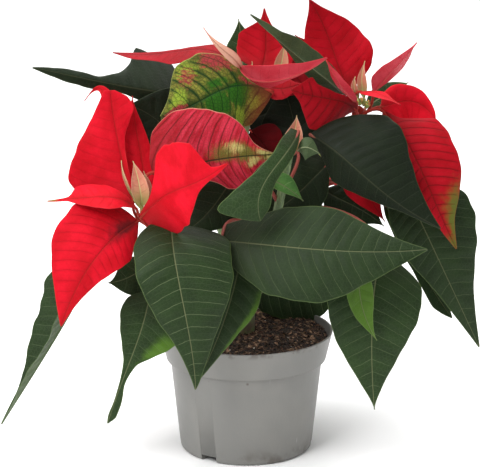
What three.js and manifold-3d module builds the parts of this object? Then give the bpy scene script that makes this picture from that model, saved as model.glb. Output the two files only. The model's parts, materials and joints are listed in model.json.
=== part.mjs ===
// A poinsettia in its round grey grower's pot, in millimetres, +Z up.
// The origin is the middle of the pot's underside, and the plant's front faces -Y.
import * as THREE from 'three';
import { mergeVertices } from 'three/addons/utils/BufferGeometryUtils.js';
import Module from 'manifold-3d';

const wasm = await Module();
wasm.setup();

// ---------------------------------------------------------------------------------------------
// Driving dimensions
// ---------------------------------------------------------------------------------------------
const POT_HEIGHT = 91;
const POT_RIM_HEIGHT = 21.5;
const POT_RIM_RADIUS = 64.8;
const POT_RIM_FOOT_RADIUS = 60;
const POT_BODY_RADIUS = 57;
const POT_BASE_RADIUS = 49.5;
const POT_WALL = 1.6;
const POT_EDGE_ROUND = 2.5;
const POT_EDGE_STEPS = 2;
const POT_FACETS = 36;

const BASE_CHANNEL_INNER = 22;
const BASE_CHANNEL_OUTER = 43;
const BASE_CHANNEL_RISE = 4;
const BASE_HOLE_RADIUS = 4.5;
const BASE_HOLE_COUNT = 6;
const BASE_HOLE_RING = 33;
const BASE_HOLE_FACETS = 10;
const CHANNEL_SLANT = 1;
const RIM_TOP_EASE = 0.8;
const RIM_TOP_INSET = 0.5;
const INNER_CORNER = 2;
const BASE_NOTCH_COUNT = 3;
const BASE_NOTCH_HEIGHT = 5;
const BASE_NOTCH_WIDTH = 13;
const BASE_NOTCH_REACH = 14;
const BASE_NOTCH_FIRST = -124;

const SOIL_LEVEL = 85.5;
const SOIL_CROWN = 3;
const SOIL_CROWN_SHOULDER = 0.62;
const SOIL_FACETS = 32;
const TOUCH_GAP = 0.3;

const STEM_SIDES = 6;
const TRUNK_RADII = [6, 5];
const TRUNK_STEPS = 3;
const SHOOT_RADII = [4, 2.8];
const SHOOT_STEPS = 6;
const PETIOLE_RADIUS = 1.25;
const BLADE_THICKNESS = 0.7;
const MIDRIB_DEPTH = 0.7;
const MIDRIB_TAPER = 0.7;
const PETIOLE_BEND = 0.45;
const PETIOLE_END = 0.96;
const TIP_HALF_WIDTH = 0.5;
const SMALLEST_EDGE = 0.02;
const CORE_LENGTH = 20;
const CORE_RADIUS = 2.9;
const CORE_SWELL = 0.6;
const CORE_SHOULDER = 3;

const GREY_PLASTIC = { color: 0x9b9b98, roughness: 0.5 };
const PEAT = { color: 0x3a2a20, roughness: 0.95 };
const STEM_GREEN = { color: 0x5c6b3a, roughness: 0.6 };
const LEAF_GREEN = { color: 0x24402c, roughness: 0.55 };
const YOUNG_GREEN = { color: 0x4c8a3c, roughness: 0.55 };
const BRACT_RED = { color: 0xd4142a, roughness: 0.6 };
const BRACT_MOTTLED = { color: 0x9c6a44, roughness: 0.6 };
const BRACT_CREAM = { color: 0xe8b090, roughness: 0.6 };

// ---------------------------------------------------------------------------------------------
// Solids
// ---------------------------------------------------------------------------------------------
function toSolid(geometry) {
  const bare = geometry.clone();
  bare.deleteAttribute('normal');
  bare.deleteAttribute('uv');
  const merged = mergeVertices(bare, 1e-3);
  const vertProperties = new Float32Array(merged.attributes.position.array);
  const triVerts = new Uint32Array(merged.index.array);
  return new wasm.Manifold(new wasm.Mesh({ numProp: 3, vertProperties, triVerts }));
}

function toMesh(name, solid, look) {
  const { vertProperties, triVerts, numProp } = solid.simplify(SMALLEST_EDGE).getMesh();
  const geometry = new THREE.BufferGeometry();
  geometry.setAttribute('position', new THREE.BufferAttribute(new Float32Array(vertProperties), numProp));
  geometry.setIndex(new THREE.BufferAttribute(new Uint32Array(triVerts), 1));
  geometry.computeVertexNormals();
  const material = new THREE.MeshStandardMaterial({ metalness: 0, ...look });
  const mesh = new THREE.Mesh(geometry, material);
  mesh.name = name;
  return mesh;
}

function largestPiece(solid) {
  const pieces = solid.decompose();
  pieces.sort((a, b) => b.volume() - a.volume());
  return pieces[0];
}

function turned(profile, facets) {
  const geometry = new THREE.LatheGeometry(profile.map(([r, z]) => new THREE.Vector2(r, z)), facets);
  geometry.rotateX(Math.PI / 2);
  return toSolid(geometry);
}

// A closed body through rings of equally many points. Each ring runs along its upper side from
// left to right and back along its lower side, and both ends are closed straight across.
function loft(rings) {
  const lanes = rings[0].length / 2;
  const around = 2 * lanes;
  const positions = rings.flat().flatMap((p) => [p.x, p.y, p.z]);
  const index = [];
  const at = (ring, k) => ring * around + k;
  const under = (k) => around - 1 - k;
  const quad = (a, b, c, d, flip) => {
    if (flip) index.push(a, b, d, b, c, d);
    else index.push(a, b, c, a, c, d);
  };
  for (let i = 0; i < rings.length - 1; i += 1) {
    for (let k = 0; k < lanes - 1; k += 1) {
      const flip = k >= (lanes - 1) / 2;
      quad(at(i, k), at(i, k + 1), at(i + 1, k + 1), at(i + 1, k), flip);
      const [a, b] = [under(k), under(k + 1)];
      if (flip) index.push(at(i, a), at(i + 1, a), at(i, b), at(i, b), at(i + 1, a), at(i + 1, b));
      else index.push(at(i, a), at(i + 1, b), at(i, b), at(i, a), at(i + 1, a), at(i + 1, b));
    }
    quad(at(i, 0), at(i + 1, 0), at(i + 1, under(0)), at(i, under(0)), false);
    const last = lanes - 1;
    quad(at(i, last), at(i, under(last)), at(i + 1, under(last)), at(i + 1, last), false);
  }
  const end = rings.length - 1;
  for (let k = 0; k < lanes - 1; k += 1) {
    quad(at(0, k), at(0, under(k)), at(0, under(k + 1)), at(0, k + 1), false);
    quad(at(end, k), at(end, k + 1), at(end, under(k + 1)), at(end, under(k)), false);
  }
  const geometry = new THREE.BufferGeometry();
  geometry.setAttribute('position', new THREE.BufferAttribute(new Float32Array(positions), 3));
  geometry.setIndex(index);
  return toSolid(geometry);
}

// ---------------------------------------------------------------------------------------------
// Pot and soil
// ---------------------------------------------------------------------------------------------
function roundedEdge(radius, steps) {
  const points = [];
  for (let i = 0; i <= steps; i += 1) {
    const angle = (i / steps) * (Math.PI / 2);
    points.push([
      POT_BASE_RADIUS - radius + radius * Math.sin(angle),
      radius - radius * Math.cos(angle),
    ]);
  }
  return points;
}

function potShell() {
  const rimFoot = POT_HEIGHT - POT_RIM_HEIGHT;
  const floorTop = BASE_CHANNEL_RISE + POT_WALL;
  return turned([
    [0, 0],
    [BASE_CHANNEL_INNER, 0],
    [BASE_CHANNEL_INNER + CHANNEL_SLANT, BASE_CHANNEL_RISE],
    [BASE_CHANNEL_OUTER - CHANNEL_SLANT, BASE_CHANNEL_RISE],
    [BASE_CHANNEL_OUTER, 0],
    ...roundedEdge(POT_EDGE_ROUND, POT_EDGE_STEPS),
    [POT_BODY_RADIUS, rimFoot],
    [POT_RIM_FOOT_RADIUS, rimFoot],
    [POT_RIM_RADIUS, POT_HEIGHT - RIM_TOP_EASE],
    [POT_RIM_RADIUS - RIM_TOP_INSET, POT_HEIGHT],
    [POT_RIM_RADIUS - POT_WALL, POT_HEIGHT],
    [POT_RIM_FOOT_RADIUS - POT_WALL, rimFoot + POT_WALL],
    [POT_BODY_RADIUS - POT_WALL, rimFoot],
    [POT_BASE_RADIUS - POT_WALL, floorTop + INNER_CORNER],
    [POT_BASE_RADIUS - POT_WALL - INNER_CORNER, floorTop],
    [0, floorTop],
  ], POT_FACETS);
}

function drainCutters() {
  const cutters = [];
  for (let i = 0; i < BASE_HOLE_COUNT; i += 1) {
    const angle = ((i + 0.5) / BASE_HOLE_COUNT) * 2 * Math.PI;
    const depth = 3 * BASE_CHANNEL_RISE;
    const hole = new THREE.CylinderGeometry(BASE_HOLE_RADIUS, BASE_HOLE_RADIUS, depth, BASE_HOLE_FACETS);
    hole.rotateX(Math.PI / 2);
    const [x, y] = [BASE_HOLE_RING * Math.cos(angle), BASE_HOLE_RING * Math.sin(angle)];
    hole.translate(x, y, BASE_CHANNEL_RISE);
    cutters.push(toSolid(hole));
  }
  for (let i = 0; i < BASE_NOTCH_COUNT; i += 1) {
    const angle = THREE.MathUtils.degToRad(BASE_NOTCH_FIRST + (i * 360) / BASE_NOTCH_COUNT);
    const notch = new THREE.BoxGeometry(BASE_NOTCH_REACH, BASE_NOTCH_WIDTH, 2 * BASE_NOTCH_HEIGHT);
    notch.translate(POT_BASE_RADIUS, 0, 0);
    notch.rotateZ(angle);
    cutters.push(toSolid(notch));
  }
  return cutters;
}

function makePot() {
  return wasm.Manifold.difference([potShell(), ...drainCutters()]);
}

function makeSoil() {
  const rimFoot = POT_HEIGHT - POT_RIM_HEIGHT;
  const floor = BASE_CHANNEL_RISE + POT_WALL + TOUCH_GAP;
  const inset = POT_WALL + TOUCH_GAP;
  const edge = SOIL_LEVEL - rimFoot;
  const slope = (POT_RIM_RADIUS - POT_RIM_FOOT_RADIUS) / POT_RIM_HEIGHT;
  const rimInset = inset + TOUCH_GAP;
  const edgeRadius = POT_RIM_FOOT_RADIUS - rimInset + slope * edge;
  const shoulder = SOIL_CROWN_SHOULDER;
  return turned([
    [0, floor],
    [POT_BASE_RADIUS - inset - INNER_CORNER, floor],
    [POT_BASE_RADIUS - inset, floor + INNER_CORNER],
    [POT_BODY_RADIUS - inset, rimFoot + TOUCH_GAP],
    [POT_RIM_FOOT_RADIUS - rimInset, rimFoot + rimInset],
    [edgeRadius, SOIL_LEVEL],
    [shoulder * edgeRadius, SOIL_LEVEL + shoulder * SOIL_CROWN],
    [0, SOIL_LEVEL + SOIL_CROWN],
  ], SOIL_FACETS);
}

// ---------------------------------------------------------------------------------------------
// Stems
// ---------------------------------------------------------------------------------------------
const vector = ([x, y, z]) => new THREE.Vector3(x, y, z);

// Points on a ring, counted as loft() counts them: along the upper side and back along the lower.
function roundSection(centre, side, up, radius, lanes) {
  const points = [];
  for (let k = 0; k < 2 * lanes; k += 1) {
    const angle = Math.PI - ((k + 0.5) * Math.PI) / lanes;
    const point = centre.clone();
    point.addScaledVector(side, radius * Math.cos(angle));
    point.addScaledVector(up, radius * Math.sin(angle));
    points.push(point);
  }
  return points;
}

function limb(points, startRadius, endRadius, steps) {
  const curve = new THREE.CatmullRomCurve3(points.map(vector), false, 'catmullrom');
  const rings = [];
  for (let i = 0; i <= steps; i += 1) {
    const t = i / steps;
    const along = curve.getTangent(t);
    const side = new THREE.Vector3(0, 1, 0).cross(along).normalize();
    const up = side.clone().cross(along);
    const radius = THREE.MathUtils.lerp(startRadius, endRadius, t);
    rings.push(roundSection(curve.getPoint(t), side, up, radius, STEM_SIDES / 2));
  }
  return loft(rings);
}

// Where each flowering shoot ends, and the direction in which its top grows.
const SHOOTS = {
  left: { head: [-70, -52, 193], axis: [-0.45, -0.35, 0.82], via: [-36, -22, 148] },
  top: { head: [2, -10, 280], axis: [0.05, -0.15, 0.98], via: [-6, 2, 190] },
  right: { head: [84, 6, 260], axis: [0.45, 0.05, 0.9], via: [44, 8, 178] },
  back_left: { head: [-34, 78, 240], axis: [-0.25, 0.5, 0.83], via: [-20, 40, 165] },
  back_right: { head: [58, 74, 205], axis: [0.35, 0.5, 0.79], via: [34, 42, 150] },
  front: { head: [38, -46, 254], axis: [0.3, -0.5, 0.8], via: [18, -14, 165] },
};
const STEM_FOOT = [0, 4, 62];
const STEM_FORK = [1, 4, 108];
const STEM_CROTCH = [1, 4, 114];

function shootLine(shoot) {
  const axis = vector(shoot.axis).normalize();
  const end = vector(shoot.head).addScaledVector(axis, -CORE_LENGTH - TOUCH_GAP);
  return [STEM_FORK, shoot.via, end.toArray()];
}

function makeStem(extra) {
  const trunk = [STEM_FOOT, STEM_FORK, STEM_CROTCH];
  const solids = [limb(trunk, TRUNK_RADII[0] + extra, TRUNK_RADII[1] + extra, TRUNK_STEPS)];
  for (const shoot of Object.values(SHOOTS)) {
    const line = shootLine(shoot);
    solids.push(limb(line, SHOOT_RADII[0] + extra, SHOOT_RADII[1] + extra, SHOOT_STEPS));
  }
  return wasm.Manifold.union(solids);
}

// ---------------------------------------------------------------------------------------------
// Blades: green leaves and coloured bracts
// ---------------------------------------------------------------------------------------------
// The cubic through four points of a midrib: its foot, a third, two thirds and its tip.
function ribCurve([a, b, c, d]) {
  const [p, q, r, s] = [vector(a), vector(b), vector(c), vector(d)];
  const near = new THREE.Vector3();
  near.addScaledVector(p, -5 / 6).addScaledVector(q, 3);
  near.addScaledVector(r, -1.5).addScaledVector(s, 1 / 3);
  const far = new THREE.Vector3();
  far.addScaledVector(p, 1 / 3).addScaledVector(q, -1.5);
  far.addScaledVector(r, 3).addScaledVector(s, -5 / 6);
  return new THREE.CubicBezierCurve3(p, near, far, s);
}

// Half width of a pointed oval blade at u, from 0 at its foot to 1 at its tip: the powers make
// the foot rounder and draw the tip out.
const FOOT_POWER = 0.85;
const TIP_POWERS = [1.05, 1.4];

function ovalWidth(u, half, widest) {
  if (u < widest) return half * Math.sin((Math.PI / 2) * (u / widest) ** FOOT_POWER);
  const rest = (u - widest) / (1 - widest);
  return half * Math.cos((Math.PI / 2) * rest ** TIP_POWERS[0]) ** TIP_POWERS[1];
}

function outlineWidth(u, outline, side) {
  const next = outline.findIndex(([place]) => place >= u);
  if (next <= 0) return outline[0][side];
  const [from, to] = [outline[next - 1], outline[next]];
  return THREE.MathUtils.lerp(from[side], to[side], (u - from[0]) / (to[0] - from[0]));
}

const DEFAULT_WIDEST = 0.35;

function halfWidth(blade, u, side) {
  if (blade.outline) return outlineWidth(u, blade.outline, side);
  return ovalWidth(u, blade.half[side - 1], blade.widest ?? DEFAULT_WIDEST);
}

// The blade's cross direction and its upper normal at a place on the rib.
function bladeFrame(blade, along, u) {
  const face = vector(blade.face).lerp(vector(blade.faceTip ?? blade.face), u);
  const side = along.clone().cross(face).normalize();
  const up = side.clone().cross(along).normalize();
  return { side, up };
}

const SIDE_PHASE = 1.9;

// How far a point lies out from the rib and up from it: a bent strip, folded at the rib by one
// angle and curling on by another, with a wave that grows towards the margin.
function bladeOffset(blade, u, v) {
  const side = v < 0 ? 1 : 2;
  const reach = Math.abs(v) * Math.max(halfWidth(blade, u, side), TIP_HALF_WIDTH);
  const fold = THREE.MathUtils.degToRad((blade.fold ?? [0, 0])[side - 1]);
  const curl = THREE.MathUtils.degToRad((blade.curl ?? [0, 0])[side - 1]) * Math.abs(v);
  const middle = fold + curl / 2;
  const [swing, count] = blade.wave ?? [0, 1];
  const fade = Math.sin(Math.PI * u) * v * v;
  const wave = swing * fade * Math.sin(2 * Math.PI * count * u + side * SIDE_PHASE);
  return [Math.sign(v) * reach * Math.cos(middle), reach * Math.sin(middle) + wave];
}

const WIDE_BLADE = 20;
const WIDE_STEPS = [0.06, 0.2, 0.4, 0.62, 0.83, 1];
const NARROW_STEPS = [0.06, 0.22, 0.42, 0.62, 0.82, 1];

function bladeSteps(blade) {
  if (blade.steps) return blade.steps;
  if (blade.outline) return blade.outline.map(([u]) => u).filter((u) => u > 0);
  return Math.max(...blade.half) > WIDE_BLADE ? WIDE_STEPS : NARROW_STEPS;
}

function bladeLanes(blade) {
  const widths = blade.outline ? blade.outline.flatMap(([, left, right]) => [left, right]) : blade.half;
  return Math.max(...widths) > WIDE_BLADE ? [-1, -0.5, 0, 0.5, 1] : [-1, 0, 1];
}

function bladeSection(blade, curve, u, lanes) {
  const centre = curve.getPoint(u);
  const { side, up } = bladeFrame(blade, curve.getTangent(u), u);
  const place = (v, lift) => {
    const [out, rise] = bladeOffset(blade, u, v);
    return centre.clone().addScaledVector(side, out).addScaledVector(up, rise + lift);
  };
  const upper = lanes.map((v) => place(v, BLADE_THICKNESS / 2));
  const ridge = MIDRIB_DEPTH * (1 - MIDRIB_TAPER * u);
  const lower = lanes.map((v) => place(v, -BLADE_THICKNESS / 2 - (v === 0 ? ridge : 0)));
  return [...upper, ...lower.reverse()];
}

function makeBlade(blade) {
  const curve = ribCurve(blade.rib);
  const lanes = bladeLanes(blade);
  const base = curve.getPoint(0);
  const leaving = curve.getTangent(0);
  const foot = vector(blade.foot);
  const reach = base.distanceTo(foot);
  const straightKnee = base.clone().addScaledVector(leaving, -PETIOLE_BEND * reach);
  const knee = blade.knee ? vector(blade.knee) : straightKnee;
  const stalk = new THREE.QuadraticBezierCurve3(foot, knee, base);
  const rings = [];
  for (const t of blade.knee ? [0, PETIOLE_END / 2, PETIOLE_END] : [0, PETIOLE_END]) {
    const { side, up } = bladeFrame(blade, stalk.getTangent(t), 0);
    rings.push(roundSection(stalk.getPoint(t), side, up, blade.stalk ?? PETIOLE_RADIUS, lanes.length));
  }
  for (const u of bladeSteps(blade)) rings.push(bladeSection(blade, curve, u, lanes));
  return loft(rings);
}

// A place on a shoot: t runs from the fork, 0, to just under the flower head, 1.
function on(shoot, t) {
  const curve = new THREE.CatmullRomCurve3(shootLine(SHOOTS[shoot]).map(vector), false, 'catmullrom');
  return curve.getPoint(t).toArray();
}

// The rib of each leaf has four places: blade foot, a third, two thirds and tip. half is the
// width left and right of the rib, looking along it from above, and outline gives that width
// at places along the rib where the blade has a lobe or a waist. Angles are in degrees.
const LEAVES = {
  leaf_front_middle: {
    foot: on('front', 0.5), knee: [-17, -40, 200],
    outline: [
      [0, 13, 6], [0.06, 17.3, 17], [0.16, 24, 27.2], [0.28, 30.5, 36], [0.42, 32.7, 38.1],
      [0.56, 30, 33.8], [0.7, 22.5, 23.6], [0.86, 10, 10.7], [1, 0.5, 0.5],
    ],
    rib: [[-17, -66, 177], [31, -84, 177], [78, -92, 176], [127, -86, 176]],
    face: [0, -0.8, 0.6], fold: [4, -4], curl: [-8, -18], wave: [1.5, 2],
  },
  leaf_front_left: {
    foot: on('left', 0.85), knee: [-50, -52, 190],
    outline: [
      [0, 27, 24], [0.08, 34, 26.7], [0.16, 39.5, 28], [0.28, 40.2, 28.4], [0.42, 37.7, 25.5],
      [0.55, 31, 20.5], [0.7, 19, 11.5], [0.86, 8, 5], [1, 0.5, 0.5],
    ],
    rib: [[-57, -68, 185], [-48, -98, 161], [-40, -102, 118], [-36, -94, 75]],
    face: [0.1, -0.95, 0.3], fold: [4, 4], curl: [-18, -18], wave: [1.5, 2],
  },
  leaf_right_upper: {
    foot: on('right', 0.8), knee: [46, -4, 242],
    outline: [
      [0, 2, 2], [0.06, 16, 7], [0.18, 33, 14.2], [0.33, 44.5, 22.5], [0.5, 42.3, 17.6],
      [0.66, 32, 11], [0.82, 18, 4], [1, 0.5, 0.5],
    ],
    rib: [[46, -29, 246], [71, -50, 232], [99, -58, 209], [139, -54, 183]],
    face: [-0.05, -0.9, 0.45], fold: [2, -42], curl: [-10, -10], wave: [1.5, 2],
  },
  leaf_centre_folded: {
    foot: on('front', 0.98), knee: [36, -44, 244],
    outline: [
      [0, 1.5, 6], [0.16, 5.5, 8.5], [0.35, 7, 7.4], [0.55, 7.8, 9], [0.7, 9.3, 14], [0.8, 10, 20.5],
      [0.88, 9.3, 28.5], [0.93, 7.6, 17], [1, 0.5, 0.5],
    ],
    rib: [[37, -50, 253], [24, -72, 237], [11, -88, 221], [10, -92, 198]],
    face: [0, -0.97, 0.25], fold: [-20, 6], curl: [-10, -8],
  },
  leaf_front_right: {
    foot: on('right', 0.55), knee: [90, -32, 190], half: [35, 34], widest: 0.28,
    rib: [[97, -55, 167], [91, -68, 134], [90, -74, 94], [93, -68, 51]],
    face: [0, -0.97, 0.25], fold: [4, 4], curl: [-14, -18], wave: [1.5, 2],
  },
  leaf_front_small: {
    foot: on('front', 0.35), knee: [64, -60, 176], half: [10, 11], widest: 0.35,
    rib: [[79, -78, 165], [80, -82, 145], [84, -84, 130], [90, -83, 117]],
    face: [0, -0.95, 0.3], fold: [-10, 20], curl: [0, 20],
  },
  leaf_far_right: {
    foot: on('right', 0.9), knee: [104, 4, 224],
    outline: [
      [0, 2, 2], [0.05, 15, 8], [0.12, 24, 15], [0.2, 32.4, 19], [0.3, 39.7, 22], [0.42, 40.5, 22],
      [0.56, 34.5, 18.5], [0.7, 22.9, 12.5], [0.84, 11, 7], [1, 0.5, 0.5],
    ],
    rib: [[114, -5, 207], [128, -12, 178], [148, -14, 136], [175, -4, 78]],
    face: [0.15, -0.95, 0.25], fold: [2, 2], curl: [-12, -12], wave: [1.5, 2],
  },
  leaf_right_folded: {
    foot: on('right', 0.7), knee: [96, 22, 196],
    outline: [
      [0, 1.3, 1.3], [0.12, 8, 3.8], [0.25, 11, 4.7], [0.4, 12, 6], [0.55, 11, 6], [0.7, 8, 7],
      [0.82, 6, 8], [0.9, 4, 5.6], [1, 0.5, 0.5],
    ],
    rib: [[104, 24, 181], [118, 22, 155], [137, 19, 123], [156, 15, 95]],
    face: [-0.4, -0.85, 0.3], fold: [12, 34], curl: [10, 10],
  },
  leaf_far_left: {
    foot: on('left', 0.9), knee: [-88, -44, 174],
    outline: [
      [0, 1.3, 1.3], [0.08, 12, 20], [0.2, 18, 28], [0.3, 20.5, 29.6], [0.4, 21.5, 28],
      [0.5, 21, 24.5], [0.62, 17.5, 17], [0.75, 12.5, 10], [0.88, 7, 4], [1, 0.5, 0.5],
    ],
    rib: [[-105, -46, 165], [-124, -54, 127], [-147, -60, 88], [-179, -58, 36]],
    face: [-0.8, 0, 0.6], fold: [17, 53], curl: [5, 0], wave: [1.5, 2.5],
  },
  leaf_left_waisted: {
    foot: on('left', 0.6), knee: [-62, -50, 150],
    outline: [
      [0, 1.3, 1.3], [0.08, 12.6, 15], [0.2, 26, 18.3], [0.3, 29, 16.2], [0.4, 23.7, 13.1],
      [0.5, 14, 8.9], [0.6, 5.3, 4.4], [0.74, 2.7, 1.8], [0.88, 5, 0.9], [0.95, 4.7, 1.5],
      [1, 0.5, 0.5],
    ],
    rib: [[-69, -58, 138], [-76, -66, 109], [-87, -68, 79], [-101, -62, 38]],
    face: [0, -0.97, 0.25], fold: [0, 10], curl: [-10, -14],
  },
  leaf_left_small: {
    foot: on('left', 0.7), knee: [-56, -36, 160], half: [15, 14], widest: 0.58,
    rib: [[-64, -40, 155], [-75, -45, 150], [-86, -47, 144], [-100, -46, 140]],
    face: [0, -0.9, 0.4], curl: [-12, -12],
  },
  leaf_front_under: {
    foot: on('left', 0.35), knee: [-6, -46, 178],
    outline: [
      [0, 2, 2], [0.08, 12, 12], [0.2, 19, 20], [0.33, 20.2, 23], [0.45, 18.5, 22], [0.55, 13.7, 18],
      [0.66, 9.7, 13], [0.8, 5.2, 8], [0.9, 2.7, 4], [1, 0.5, 0.5],
    ],
    rib: [[-4, -60, 165], [-10, -74, 139], [-21, -80, 107], [-36, -78, 75]],
    face: [0, -0.97, 0.25], fold: [2, 2], curl: [-14, -14], wave: [1.5, 2],
  },
  leaf_middle_shaded: {
    foot: on('top', 0.5), knee: [-6, -14, 224], half: [20, 22], widest: 0.4,
    rib: [[-7, -22, 217], [-18, -28, 201], [-30, -34, 187], [-45, -38, 176]],
    face: [0, -0.9, 0.4], curl: [-12, -12],
  },
  leaf_left_high: {
    foot: on('top', 0.8), knee: [-26, 22, 262],
    outline: [
      [0, 2, 2], [0.1, 8.5, 27], [0.2, 9.7, 31], [0.33, 7.5, 36.5], [0.37, 6.5, 21], [0.46, 5.3, 10],
      [0.6, 6.5, 4.5], [0.72, 6, 5.5], [0.88, 3.5, 3.5], [1, 0.5, 0.5],
    ],
    rib: [[-46, 30, 264], [-83, 24, 270], [-119, 14, 279], [-156, 4, 289]],
    face: [0, -0.7, 0.7], fold: [-50, 4], curl: [-10, -6],
  },
  leaf_left_inner: {
    foot: on('top', 0.55), knee: [-30, 12, 216], half: [22, 22], widest: 0.4,
    rib: [[-45, 18, 224], [-57, 22, 237], [-70, 22, 249], [-88, 18, 259]],
    face: [0, -0.95, 0.3], curl: [-10, -10],
  },
  leaf_top_behind: {
    foot: on('top', 0.9), knee: [-2, 30, 258], half: [13, 14], widest: 0.4,
    rib: [[-2, 36, 274], [-3, 42, 288], [-4, 46, 302], [-6, 48, 318]],
    face: [0, -0.97, 0.25], curl: [10, 10],
  },
  leaf_top_pale: {
    foot: on('right', 0.84), knee: [66, -4, 252],
    outline: [
      [0, 2, 2], [0.12, 7, 8.7], [0.28, 9.8, 10.3], [0.42, 12, 9.3], [0.56, 12.2, 6], [0.68, 11, 3],
      [0.78, 7, 1.2], [0.9, 3.9, 0.8], [1, 0.5, 0.5],
    ],
    rib: [[72, -2, 271], [53, -19, 289], [29, -29, 310], [3, -28, 333]],
    face: [-0.3, 0.5, 0.8], curl: [14, 14],
  },
  leaf_top_inner: {
    foot: on('top', 0.82), knee: [4, 22, 258], half: [15, 17], widest: 0.42,
    rib: [[12, 28, 248], [24, 32, 253], [38, 34, 261], [52, 34, 267]],
    face: [0, -0.97, 0.25], curl: [-8, -8],
  },
  leaf_right_behind: {
    foot: on('right', 0.92), knee: [84, 18, 250], half: [9, 9], widest: 0.4,
    rib: [[89, 28, 255], [100, 34, 261], [111, 37, 267], [121, 37, 272]],
    face: [0, -0.9, 0.45], curl: [-8, -8],
  },
  leaf_centre_bright: {
    foot: on('front', 0.7), knee: [12, -32, 216], half: [9, 5], widest: 0.45, look: YOUNG_GREEN,
    rib: [[14, -40, 218], [22, -46, 215], [31, -48, 210], [41, -46, 201]],
    face: [0, -0.9, 0.45], curl: [-8, -8],
  },
  leaf_right_shaded: {
    foot: on('right', 0.6), knee: [50, 16, 204], half: [12, 18], widest: 0.35,
    rib: [[58, 18, 194], [69, 9, 186], [81, 3, 179], [95, 0, 171]],
    face: [0, -0.9, 0.45], curl: [-10, -10],
  },
  leaf_centre_pale: {
    foot: on('front', 0.95), knee: [34, -44, 236], half: [9, 8], widest: 0.45, look: YOUNG_GREEN,
    rib: [[37, -50, 239], [41, -54, 242], [46, -54, 241], [52, -52, 237]],
    face: [0, 0.9, -0.45], curl: [8, 8],
  },
  leaf_middle_inner: {
    foot: on('front', 0.75), knee: [40, -14, 222], half: [16, 16], widest: 0.45,
    rib: [[38, -4, 227], [36, -1, 243], [32, 4, 260], [26, 8, 278]],
    face: [0, -0.97, 0.25], curl: [-8, -8],
  },
  leaf_middle_low: {
    foot: on('right', 0.62), knee: [62, 4, 214], half: [19, 19], widest: 0.45,
    rib: [[60, 0, 218], [45, -6, 204], [28, -12, 190], [4, -14, 176]],
    face: [0, -0.9, 0.4], curl: [-10, -10],
  },
  leaf_middle_deep: {
    foot: on('top', 0.35), knee: [-14, 16, 200], half: [19, 19], widest: 0.42,
    rib: [[-10, 20, 206], [6, 23, 198], [22, 25, 188], [40, 24, 176]],
    face: [0, -0.9, 0.4], curl: [-10, -10],
  },
  leaf_under_front: {
    foot: on('right', 0.15), knee: [4, 30, 132], half: [23, 20], widest: 0.42,
    rib: [[8, 38, 126], [26, 43, 118], [46, 44, 111], [70, 40, 104]],
    face: [0, -0.9, 0.45], curl: [-10, -10],
  },
  leaf_centre_pink: {
    foot: on('front', 0.85), knee: [30, -30, 228], half: [8, 9], widest: 0.3, look: BRACT_CREAM,
    rib: [[31, -34, 234], [33, -35, 243], [35, -35, 252], [36, -33, 261]],
    face: [0, -0.97, 0.25], fold: [20, 20], curl: [20, 20],
  },
};

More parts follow.
